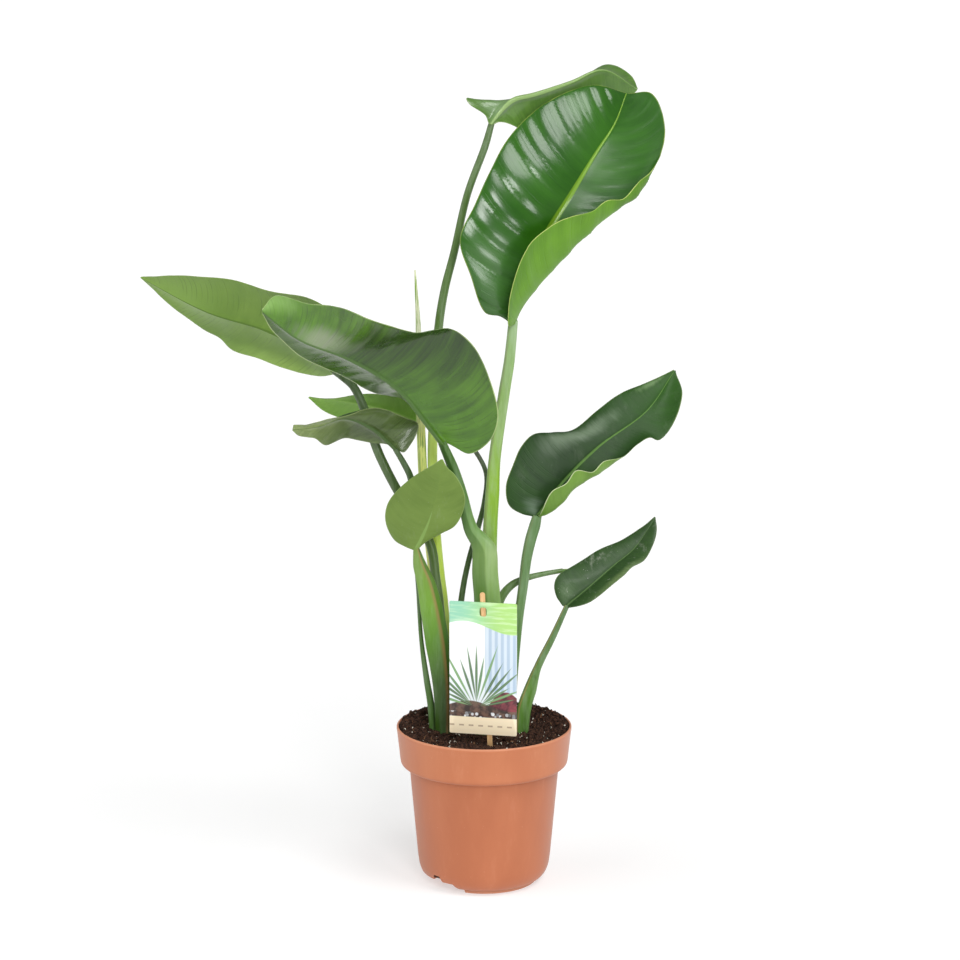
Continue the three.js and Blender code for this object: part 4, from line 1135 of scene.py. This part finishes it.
FOOT, BODY, LIP, WALL, BAND, TALL = 52, 73.3, 85.5, 1.8, 117, 156
inner_foot = [[49.5, 2], [51, 5], [55.2, 5.9], [57.5, 7.5], [60, 10.8], [62, 16.4], [63.4, 26]]
band_foot = BODY + 8.4
outer = [[0, 0], [FOOT, 0], [FOOT, 3.4], [56, 4.2], [58.8, 6.2], [61.6, 10], [63.8, 16], [65.2, 26],
         [BODY, BAND], [79, BAND + 0.6], [band_foot - 0.2, BAND + 2.6],
         [band_foot + 0.4, BAND + 6], [LIP - 0.25, TALL - 4], [LIP, TALL - 3.4]]
lining = [[LIP, TALL - 0.6], [LIP - WALL, TALL], [band_foot - 1.4, BAND + 4.5],
          [78.6, BAND + 2.4], [BODY - 1.6, BAND + 2], *inner_foot[::-1], [0, 2]]
corner_sizes = {1: 0.7, 2: 0.3, 3: 1.5, 4: 2, 5: 2.5, 6: 3, 8: 0.8, 9: 1.5, 10: 1.5, 11: 2,
                14: 0.6, 15: 0.6, 16: 2, 17: 1.5}
pot_profile = rounded(outer + lining, corner_sizes)
print("pot profile:", len(pot_profile), "points")

# %% Shape of a drain pocket
DRAINS, ROOF = (-146, 34), 10
HOLE = dict(radius=7, out=57.5, aside=9, above_roof=5.5)


def drain_pocket(angle, grow):
    """A straight block that runs outwards and narrows upwards; grown by the wall for its cover."""
    low, high, near, far, roof = 30.5 + grow, 27 + grow, 30 - grow, 70, ROOF + grow
    section = [(-low, -1), (low, -1), (high, roof), (-high, roof)]
    turn = math.radians(angle)
    points = [[x * math.cos(turn) - y * math.sin(turn), x * math.sin(turn) + y * math.cos(turn), z]
              for x in (near, far) for y, z in section]
    faces = [(3, 2, 1, 0), (4, 5, 6, 7)]
    faces += [(k, (k + 1) % 4, 4 + (k + 1) % 4, 4 + k) for k in range(4)]
    return np.array(points) * MM, faces


print(len(DRAINS), "drain pockets at", DRAINS, "degrees")

# %% [markdown]
# The plastic is a satin terracotta. It is not one flat colour: the wall is a little darker than the
# band, with faint upright flow marks from the mould, small scuffs and specks of soil. A pale line
# along the top of the lip is a painted highlight, and a dark line just above the foot ring is
# painted shadow.

# %% Pot material
pot_finish, tree, shader = new_material(
    "terracotta plastic", Specular_IOR_Level=0.35, Sheen_Weight=0.08)
height = parts(tree, place(tree))["Z"]
tone = fade(tree, noise(tree, stretched(tree, 1.0, 1.0, 0.3), 30.0, 5.0, 0.6), 0.35, 0.7)
colour = mixed(tree, tone, (175, 102, 67), (182, 108, 72))
band_tone = mixed(tree, tone, (186, 111, 74), (192, 118, 80))
on_band = fade(tree, height, BAND * MM, (BAND + 7) * MM)
# A painted highlight along the top of the lip, and a painted shadow in a line just above the foot
# ring.
lip_highlight = fade(tree, height, (TALL - 2.5) * MM, (TALL - 0.8) * MM, 0.0, 0.5)
on_ring = fade(tree, height, 0.0025, 0.0035, 0.45, 0.0)
shadow_over_ring = calc(tree, "*", calc(tree, "COMPARE", height, 0.0040, 0.0006), 0.7)
colour = mixed(tree, on_band, colour, band_tone)
colour = mixed(tree, lip_highlight, colour, (214, 150, 118))
colour = mixed(tree, on_ring, colour, (214, 158, 128))
colour = mixed(tree, shadow_over_ring, colour, (146, 76, 46))
scuffs = use(tree, dust, Amount=0.12, Speck_Scale=300.0, Scuff_Scale=60.0)["Mask"]
colour = mixed(tree, scuffs, colour, (236, 190, 164))
wire(tree, shader, colour, calc(tree, "MULTIPLY_ADD", tone, 0.1, 0.4))
bump(tree, shader, noise(tree, place(tree), 900.0, 2.0), 0.0001, 0.35)
print("pot material:", len(tree.nodes), "nodes")

# %% Make the pot
POT_SIDES, HOLE_SIDES = 160, 24
pot = turned("nursery_pot", pot_profile, POT_SIDES, [pot_finish])
room = [[0, 1.4]] + [[r + 0.6, z - 0.6] for r, z in inner_foot] + [[0, 26]]
low, high = -2, ROOF + HOLE["above_roof"]
drill = [[0, low], [HOLE["radius"], low], [HOLE["radius"], high], [0, high]]
for angle in DRAINS:
    block = new_mesh("block", *drain_pocket(angle, WALL), [])
    joined(block, turned("inside", room, POT_SIDES), "INTERSECT")
    joined(pot, block, "UNION")
    pocket = new_mesh("pocket", *drain_pocket(angle, 0), [])
    a = math.radians(angle + HOLE["aside"])
    centre = (HOLE["out"] * math.cos(a), HOLE["out"] * math.sin(a), 0)
    joined(pocket, turned("drill", drill, HOLE_SIDES, centre=centre), "UNION")
    joined(pot, pocket, "DIFFERENCE")
one_finish(pot, pot_finish, 32)
finished(pot, "pot", "pot")

# %% [markdown]
# ## Soil
#
# Potting peat is dark and crumbly. A bump map alone looks painted, so the soil is a lumpy body
# with loose crumbs, white perlite grains and bits of fibre on it. Geometry Nodes strew them: one
# tree with its own amount, size and seed for each kind.

# %% Soil finish
grain, given, out = new_group(
    "peat grain", [("Scale", "Float", 400.0)], [("Tone", "Float"), ("Height", "Float")])
rough_part = noise(grain, place(grain), given["Scale"], 8.0, 0.75)
cells = node(grain, "ShaderNodeTexVoronoi", {"Vector": place(grain), "Scale": given["Scale"]})
grain.links.new(rough_part, out["Tone"])
grain.links.new(calc(grain, "+", rough_part, cells.outputs["Distance"]), out["Height"])


def soil_material(name, deep, light, scale, relief):
    material, tree, shader = new_material(name, Specular_IOR_Level=0.25)
    found = use(tree, grain, Scale=scale)
    tone = fade(tree, found["Tone"], 0.38, 0.68)
    rough = calc(tree, "MULTIPLY_ADD", tone, -0.2, 0.95)
    wire(tree, shader, mixed(tree, tone, deep, light), rough)
    bump(tree, shader, found["Height"], relief, 0.9)
    return material


peat = soil_material("dark peat", (18, 10, 7), (70, 45, 34), 400.0, 0.0012)
crumb_finish = soil_material("peat crumbs", (20, 11, 8), (94, 62, 46), 500.0, 0.0008)
perlite_finish = soil_material("perlite", (206, 200, 184), (240, 238, 228), 900.0, 0.0003)
fibre_finish = soil_material("coir fibre", (92, 62, 42), (150, 112, 78), 600.0, 0.0003)
print("soil materials ready")

# %% Soil body
TOP, HEAP = 146.0, 10.6
inner = LIP - WALL - 1.3


def ground(x, y):
    """Height of the soil in mm: small lumps, heaped against the lip except in front."""
    r = np.hypot(x, y)
    lumps = np.sin(x * 0.31 + 1.3) * np.cos(y * 0.27) + 0.6 * np.sin(x * 0.13 - y * 0.41 + 2)
    heap = np.clip((y + 75) / 70, 0.2, 1) * (r / inner) ** 2.4
    small = np.sin(x * 0.83 + 0.4 * y) * np.sin(y * 0.94 - 0.3 * x + 1)
    tiny = np.sin(x * 1.9 + 2) * np.sin(y * 2.1 + 0.5 * x)
    return TOP + 1.3 * lumps + HEAP * heap + 0.9 * small + 0.5 * tiny


wall = [[0, 2.3]] + [[r - 0.3, z + 0.3] for r, z in inner_foot]
wall += [[71.4, 119.3], [78.1, 120], [79.7, 122], [inner, TOP - 1]]
rings = [[inner * f, TOP] for f in np.linspace(0.985, 0.02, 52)]
points, faces = revolve(wall + rings + [[0, TOP]], 128)
upper = points[:, 2] > TOP - 1.5
points[upper, 2] = ground(points[upper, 0], points[upper, 1])
soil = new_mesh("peat_bed", points * MM, faces, [peat])
for angle in DRAINS:
    joined(soil, new_mesh("pocket", *drain_pocket(angle, WALL + 0.3), []), "DIFFERENCE")
one_finish(soil, peat)
finished(soil, "soil", "soil")

# %% Geometry nodes that strew grains
strew_tree, given, out = new_group(
    "strewn grains",
    [("Geometry", "Geometry", None), ("Amount", "Float", 100000.0), ("Smallest", "Float", 0.001),
     ("Largest", "Float", 0.003), ("Stretch", "Float", 1.3), ("Fineness", "Int", 1),
     ("Seed", "Int", 1), ("Finish", "Material", None)],
    [("Geometry", "Geometry")], "GeometryNodeTree")
t = strew_tree
FULL_TURN = 6.28
spots = node(t, "GeometryNodeDistributePointsOnFaces",
             {"Mesh": given["Geometry"], "Density": given["Amount"], "Seed": given["Seed"]})
ball = node(t, "GeometryNodeMeshIcoSphere", {"Radius": 0.5, "Subdivisions": given["Fineness"]})
size = node(t, "FunctionNodeRandomValue",
            {2: given["Smallest"], 3: given["Largest"], "Seed": given["Seed"]}, data_type="FLOAT")
spin = node(t, "FunctionNodeRandomValue",
            {0: (0, 0, 0), 1: (FULL_TURN,) * 3, "Seed": given["Seed"]}, data_type="FLOAT_VECTOR")
form = node(t, "ShaderNodeCombineXYZ", {"X": given["Stretch"], "Y": 1.0, "Z": 0.75})
scale = arrow(t, "SCALE", form.outputs[0], size.outputs[1])
grains = node(t, "GeometryNodeInstanceOnPoints",
              {"Points": spots.outputs["Points"], "Instance": ball.outputs["Mesh"],
               "Rotation": spin.outputs[0], "Scale": scale})
real = node(t, "GeometryNodeRealizeInstances", {"Geometry": grains.outputs[0]})
rough = node(t, "ShaderNodeTexNoise", {"Scale": 420.0, "Detail": 1.0})
push = arrow(t, "SUBTRACT", rough.outputs["Color"], (0.5, 0.5, 0.5))
knock = node(t, "GeometryNodeSetPosition", {
    "Geometry": real.outputs[0],
    "Offset": arrow(t, "SCALE", push, calc(t, "*", given["Largest"], 0.7))})
done = node(t, "GeometryNodeSetMaterial",
            {"Geometry": knock.outputs[0], "Material": given["Finish"]})
t.links.new(done.outputs[0], out["Geometry"])
print("strewing tree:", len(t.nodes), "nodes")


# %% Strew the soil
def sheet_of_ground(name, most, rings=40, sides=96):
    """The top of the soil alone, 0.3 mm higher, out to a share of its radius."""
    radii = inner * np.linspace(most, 0.03, rings)
    turn = np.arange(sides) * 2 * math.pi / sides
    points = np.array([[r * math.cos(a), r * math.sin(a), 0] for r in radii for a in turn])
    points[:, 2] = ground(points[:, 0], points[:, 1]) + 0.3
    at = np.arange(len(points)).reshape(rings, sides)
    after = np.roll(at, -1, axis=1)
    quads = np.stack([at[:-1], after[:-1], after[1:], at[1:]], axis=-1).reshape(-1, 4)
    return new_mesh(name, points * MM, quads.tolist(), [])


kinds = [
    ("peat_crumbs", crumb_finish, 0.985,
     dict(Amount=190000.0, Smallest=0.0014, Largest=0.0036, Fineness=1, Seed=3)),
    ("peat_lumps", crumb_finish, 0.965,
     dict(Amount=22000.0, Smallest=0.0035, Largest=0.0072, Fineness=2, Seed=5)),
    ("perlite_grains", perlite_finish, 0.97,
     dict(Amount=20000.0, Smallest=0.0007, Largest=0.0026, Fineness=2, Seed=8)),
    ("coir_bits", fibre_finish, 0.9,
     dict(Amount=7000.0, Smallest=0.0007, Largest=0.0013, Stretch=9.0, Fineness=1, Seed=11)),
]
for name, finish, most, values in kinds:
    made = run_tree(sheet_of_ground(name, most), strew_tree, Finish=finish, **values)
    made.data.shade_smooth()
    finished(made, "soil")

# %% [markdown]
# ## Plant label
#
# A printed card hangs on a flat wooden stick that is pushed into the soil. The card gets a plain
# picture of its own: a tuft of narrow leaves on brown earth with pebbles, blue stripes behind it,
# a green wave on top and a band of kraft paper below. One small group draws a leaf shape from its
# place, angle, length and width, and the material uses it for every leaf of the tuft.

# %% Card and stick shapes
CARD = dict(wide=66, tall=131, thick=0.8, x=-1, y=-46, z=225, turn=-12)
STICK = dict(wide=5, thick=2, top=300, foot=96, shift=4, lean=-2.9, gap=0.3)


def plate(name, wide, tall, corner, thick, finish, window=None, round_top=0.0):
    """An upright plate with rounded corners and softened edges; its print lies in a UV map."""
    outline = []
    for c, (right, up) in enumerate([(1, -1), (1, 1), (-1, 1), (-1, -1)]):
        r = round_top if round_top and up > 0 else corner
        for k in range(7):
            a = math.radians(90 * (c - 1) + 15 * k)
            outline.append([right * (wide / 2 - r) + r * math.cos(a),
                            up * (tall / 2 - r) + r * math.sin(a)])
    made = prism(name, outline, -thick / 2, thick / 2, [finish])
    if window:
        w, h, up = window
        shape = [[(w / 2) * math.copysign(abs(math.cos(a)) ** 0.6, math.cos(a)),
                  (h / 2) * math.copysign(abs(math.sin(a)) ** 0.6, math.sin(a)) + up]
                 for a in np.linspace(0, 2 * math.pi, 24, endpoint=False)]
        joined(made, prism("punch", shape, -3, 3, []), "DIFFERENCE")
    soften = made.modifiers.new("soft edges", "BEVEL")
    soften.width = thick * 0.28 * MM
    soften.segments = 2
    soften.limit_method = "ANGLE"
    settle(made)
    layer = made.data.uv_layers.new(name="print")
    for loop in made.data.loops:
        x, y = made.data.vertices[loop.vertex_index].co[:2]
        layer.data[loop.index].uv = (x / MM / wide + 0.5, y / MM / tall + 0.5)
    one_finish(made, finish, 40)
    return made


def stand_up(made, lean, right, back, up):
    turn = lambda angle, axis: Matrix.Rotation(math.radians(angle), 4, axis)
    move = lambda x, y, z: Matrix.Translation((x * MM, y * MM, z * MM))
    made.data.transform(move(CARD["x"], CARD["y"], CARD["z"]) @ turn(CARD["turn"], "Z")
                        @ move(right, back, up) @ turn(lean, "Y") @ turn(90, "X"))


print("card of", CARD["wide"], "by", CARD["tall"], "mm")

# %% Printed leaf
shape, given, out = new_group(
    "printed leaf shape",
    [("Place", "Vector", (0, 0, 0)), ("Root", "Vector", (0, 0, 0)), ("Angle", "Float", 0.0),
     ("Length", "Float", 1.0), ("Width", "Float", 0.1)],
    [("Mask", "Float"), ("Middle", "Float")],
)
offset = arrow(shape, "SUBTRACT", given["Place"], given["Root"])
laid = node(shape, "ShaderNodeVectorRotate", {"Vector": offset, "Angle": given["Angle"]},
            rotation_type="Z_AXIS")
split = parts(shape, laid.outputs[0])
share = calc(shape, "/", split["X"], given["Length"], clamp=True)
belly = calc(shape, "*", calc(shape, "SINE", calc(shape, "*", share, math.pi)), given["Width"])
aside = calc(shape, "ABSOLUTE", split["Y"])
shape.links.new(fade(shape, calc(shape, "-", belly, aside), 0.0, 0.012), out["Mask"])
shape.links.new(fade(shape, aside, 0.004, 0.012, 1.0, 0.0), out["Middle"])
print("printed leaf:", len(shape.nodes), "nodes")

# %% [markdown]
# The print is built from the back to the front: the pale ground with its stripes, the hills, the
# pebbles, the tuft, the wave and last the paper band. Places on the card are shares of its width.

# %% Back of the printed card
card_finish, tree, shader = new_material("printed card", Specular_IOR_Level=0.5, Coat_Weight=0.25,
                                         Coat_Roughness=0.2, Roughness=0.35)
uv = node(tree, "ShaderNodeUVMap", uv_map="print").outputs[0]
spread = stretched(tree, 1.0, 1.985, 1.0, vector=uv)
split = parts(tree, spread)
across, above = split["X"], split["Y"]
SHARP = 0.012
colour = mixed(tree, fade(tree, above, 0.3, 1.6), (224, 232, 236), (250, 251, 248))
weave = calc(tree, "SINE", calc(tree, "*", across, 70.0))
panel = calc(tree, "*", fade(tree, across, 0.52, 0.54), fade(tree, above, 0.62, 0.66))
colour = mixed(tree, calc(tree, "*", panel, 0.8), colour,
               mixed(tree, fade(tree, weave, -0.6, 0.6), (150, 178, 204), (196, 212, 226)))
mottle = fade(tree, noise(tree, spread, 9.0, 4.0, 0.6), 0.35, 0.65)
from_knoll = calc(tree, "-", across, 0.84)
knoll = calc(tree, "-", 0.66, calc(tree, "*", calc(tree, "*", from_knoll, from_knoll), 3.2))
colour = mixed(tree, fade(tree, calc(tree, "-", knoll, above), 0.0, SHARP), colour,
               mixed(tree, mottle, (70, 26, 36), (140, 56, 66)))
hill = calc(tree, "MULTIPLY_ADD", calc(tree, "SINE", calc(tree, "*", across, 5.2)), 0.07, 0.44)
colour = mixed(tree, fade(tree, calc(tree, "-", hill, above), 0.0, SHARP), colour,
               mixed(tree, mottle, (52, 38, 34), (112, 84, 70)))
stones = node(tree, "ShaderNodeTexVoronoi", {"Vector": spread, "Scale": 17.0})
tint = node(tree, "ShaderNodeSeparateColor", {0: stones.outputs["Color"]}).outputs[0]
round_stone = fade(tree, stones.outputs["Distance"], 0.38, 0.5, 1.0, 0.0)
colour = mixed(tree, calc(tree, "*", round_stone, fade(tree, above, 0.345, 0.33)), colour,
               mixed(tree, tint, (30, 30, 34), (236, 238, 240)))
print("back of the print:", len(tree.nodes), "nodes")

# %% Front of the printed card
greens = [(44, 86, 50), (70, 120, 72), (38, 82, 46), (104, 150, 92), (52, 98, 56)]
TUFT, FIRST_ANGLE, SPREAD = 17, 0.25, 2.64
for k in range(TUFT):
    angle = FIRST_ANGLE + SPREAD * k / (TUFT - 1)
    length = 0.46 + 0.5 * math.sin(angle) + 0.13 * math.sin(k * 2.4)
    root = (0.40 + 0.05 * math.cos(angle) + 0.02 * math.sin(k * 5.1), 0.42, 0.0)
    found = use(tree, shape, Place=spread, Root=root, Angle=-angle, Length=length, Width=0.024)
    pale = calc(tree, "*", found["Middle"], 0.3)
    veined = mixed(tree, pale, greens[k * 3 % len(greens)], (170, 196, 146))
    colour = mixed(tree, found["Mask"], colour, veined)
wave = calc(tree, "SINE", calc(tree, "MULTIPLY_ADD", across, 4.4, 0.6))
top = calc(tree, "MULTIPLY_ADD", wave, 0.09, 1.60)
crest = fade(tree, calc(tree, "-", above, top), 0.0, SHARP)
brush = stretched(tree, 3.0, 26.0, 1.0, vector=spread, turn=0.3)
brushed = fade(tree, noise(tree, brush, 1.0, 3.0), 0.45, 0.7, 0.0, 0.45)
green = mixed(tree, fade(tree, across, 0.1, 0.8), (146, 204, 174), (170, 216, 122))
colour = mixed(tree, crest, colour, mixed(tree, brushed, green, (226, 240, 206)))
band = fade(tree, above, 0.255, 0.262, 1.0, 0.0)
# The kraft is painted lighter than the paper itself, to make up for the shade that falls on the
# bottom of the card.
paper = mixed(tree, noise(tree, spread, 60.0, 5.0, 0.7), (253, 232, 194), (255, 243, 214))
dash = calc(tree, "*", fade(tree, calc(tree, "SINE", calc(tree, "*", across, 44.0)), -0.1, 0.1),
            calc(tree, "COMPARE", above, 0.13, 0.012))
paper = mixed(tree, calc(tree, "*", dash, 0.6), paper, (150, 112, 78))
wire(tree, shader, mixed(tree, band, colour, paper))
bump(tree, shader, noise(tree, place(tree), 600.0, 2.0), 0.00005, 0.3)
print("printed card:", len(tree.nodes), "nodes")

# %% Make the card
card = plate("care_card", CARD["wide"], CARD["tall"], 1.5, CARD["thick"], card_finish, (7, 9, 56))
stand_up(card, 0, 0, 0, 0)
finished(card, "card", "label_card")

# %% [markdown]
# The stick is sawn softwood: pale, with grain along it and a darker tint where it goes into the
# wet soil.

# %% Wooden stick
stick_finish, tree, shader = new_material("stick wood", Specular_IOR_Level=0.3)
lines = fade(tree, noise(tree, stretched(tree, 1.0, 1.0, 0.04), 1500.0, 4.0, 0.7), 0.35, 0.7)
colour = mixed(tree, lines, (206, 160, 106), (234, 198, 148))
height = parts(tree, place(tree))["Z"]
colour = mixed(tree, fade(tree, height, 0.142, 0.156, 0.6, 0.0), colour, (96, 66, 44))
wire(tree, shader, colour, calc(tree, "MULTIPLY_ADD", lines, -0.15, 0.75))
bump(tree, shader, lines, 0.0001, 0.5)
print("stick wood:", len(tree.nodes), "nodes")

# %% Make the stick
stick = plate("label_spike", STICK["wide"], STICK["top"] - STICK["foot"], 0.8, STICK["thick"],
              stick_finish, round_top=2.3)
behind = (CARD["thick"] + STICK["thick"]) / 2 + STICK["gap"]
middle = (STICK["top"] + STICK["foot"]) / 2
stand_up(stick, STICK["lean"], STICK["shift"], behind, middle - CARD["z"])
finished(stick, "stick_wood", "label_stick")

# %% [markdown]
# ## Floor and light
#
# The plant stands on a plain pale floor. Four broad suns light it like the white boxes of a
# photographer: one in front, a weak low one beside it that the pleats of the blades mirror, one
# high up at the right, and a very soft one from the left. The floor gives off some light of its
# own, as the lit white paper of a studio does, and so the undersides of the leaves stay fresh. The
# light of the sky is kept low, because what it adds to every mirror direction would wash out the
# dark greens. Seen directly the sky is white, so a low view shows no grey band above the floor.

# %% Floor
floor_finish, tree, shader = new_material(
    "pale floor", Roughness=0.9, Specular_IOR_Level=0.1, Emission_Color=(1, 1, 1, 1),
    Emission_Strength=0.53)
spread = fade(tree, noise(tree, place(tree), 3.0, 2.0), 0.3, 0.7, 0.0, 0.3)
wire(tree, shader, mixed(tree, spread, (0.52, 0.52, 0.52, 1), (0.5, 0.5, 0.5, 1)))
reach, below, sides = 200.0, 0.0002, 64
turn = np.linspace(0, 2 * math.pi, sides, endpoint=False)
disc = np.stack([reach * np.cos(turn), reach * np.sin(turn), 0 * turn - below], axis=1)
floor = new_mesh("floor", disc, [tuple(range(sides))], [floor_finish])
floor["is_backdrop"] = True
print("floor out to", reach, "m")


# %% Lights
def lamp(name, strength, bearing, height, spread):
    """A broad sun; bearing is its angle to the right of the camera, height its angle up."""
    data = bpy.data.lights.new(name, "SUN")
    data.energy = strength
    data.angle = math.radians(spread)
    made = bpy.data.objects.new(name, data)
    made.rotation_euler = (math.radians(90 - height), 0, math.radians(bearing))
    bpy.context.collection.objects.link(made)


SKY = 0.25
lamp("front box", 1.1, 12, 31, 17)
lamp("low strip", 0.5, 25, 5, 14)
lamp("top panel", 1.4, 48, 58, 28)
lamp("side fill", 1.0, -70, 38, 60)
world = bpy.data.worlds.new("studio")
world.use_nodes = True
sky = world.node_tree.nodes["Background"]
sky.inputs["Color"].default_value = (1, 1, 1, 1)
seen = node(world.node_tree, "ShaderNodeLightPath").outputs["Is Camera Ray"]
glow = calc(world.node_tree, "MULTIPLY_ADD", seen, 1 - SKY, SKY)
world.node_tree.links.new(glow, sky.inputs["Strength"])
bpy.context.scene.world = world
bpy.context.scene.view_settings.view_transform = "Standard"
print("four suns and a sky of strength", SKY)

# %% [markdown]
# ## Sizes
#
# The box of the solids and the box of the dressed plant are written down side by side, so that
# they can be compared after each change.

# %% Write the sizes and finish
plain = lambda box: [[round(float(v), 5) for v in corner] for corner in box]
{"cad": plain(cad_box), "visual": plain(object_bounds())}
print("solids:", plain(cad_box), "dressed:", plain(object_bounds()))
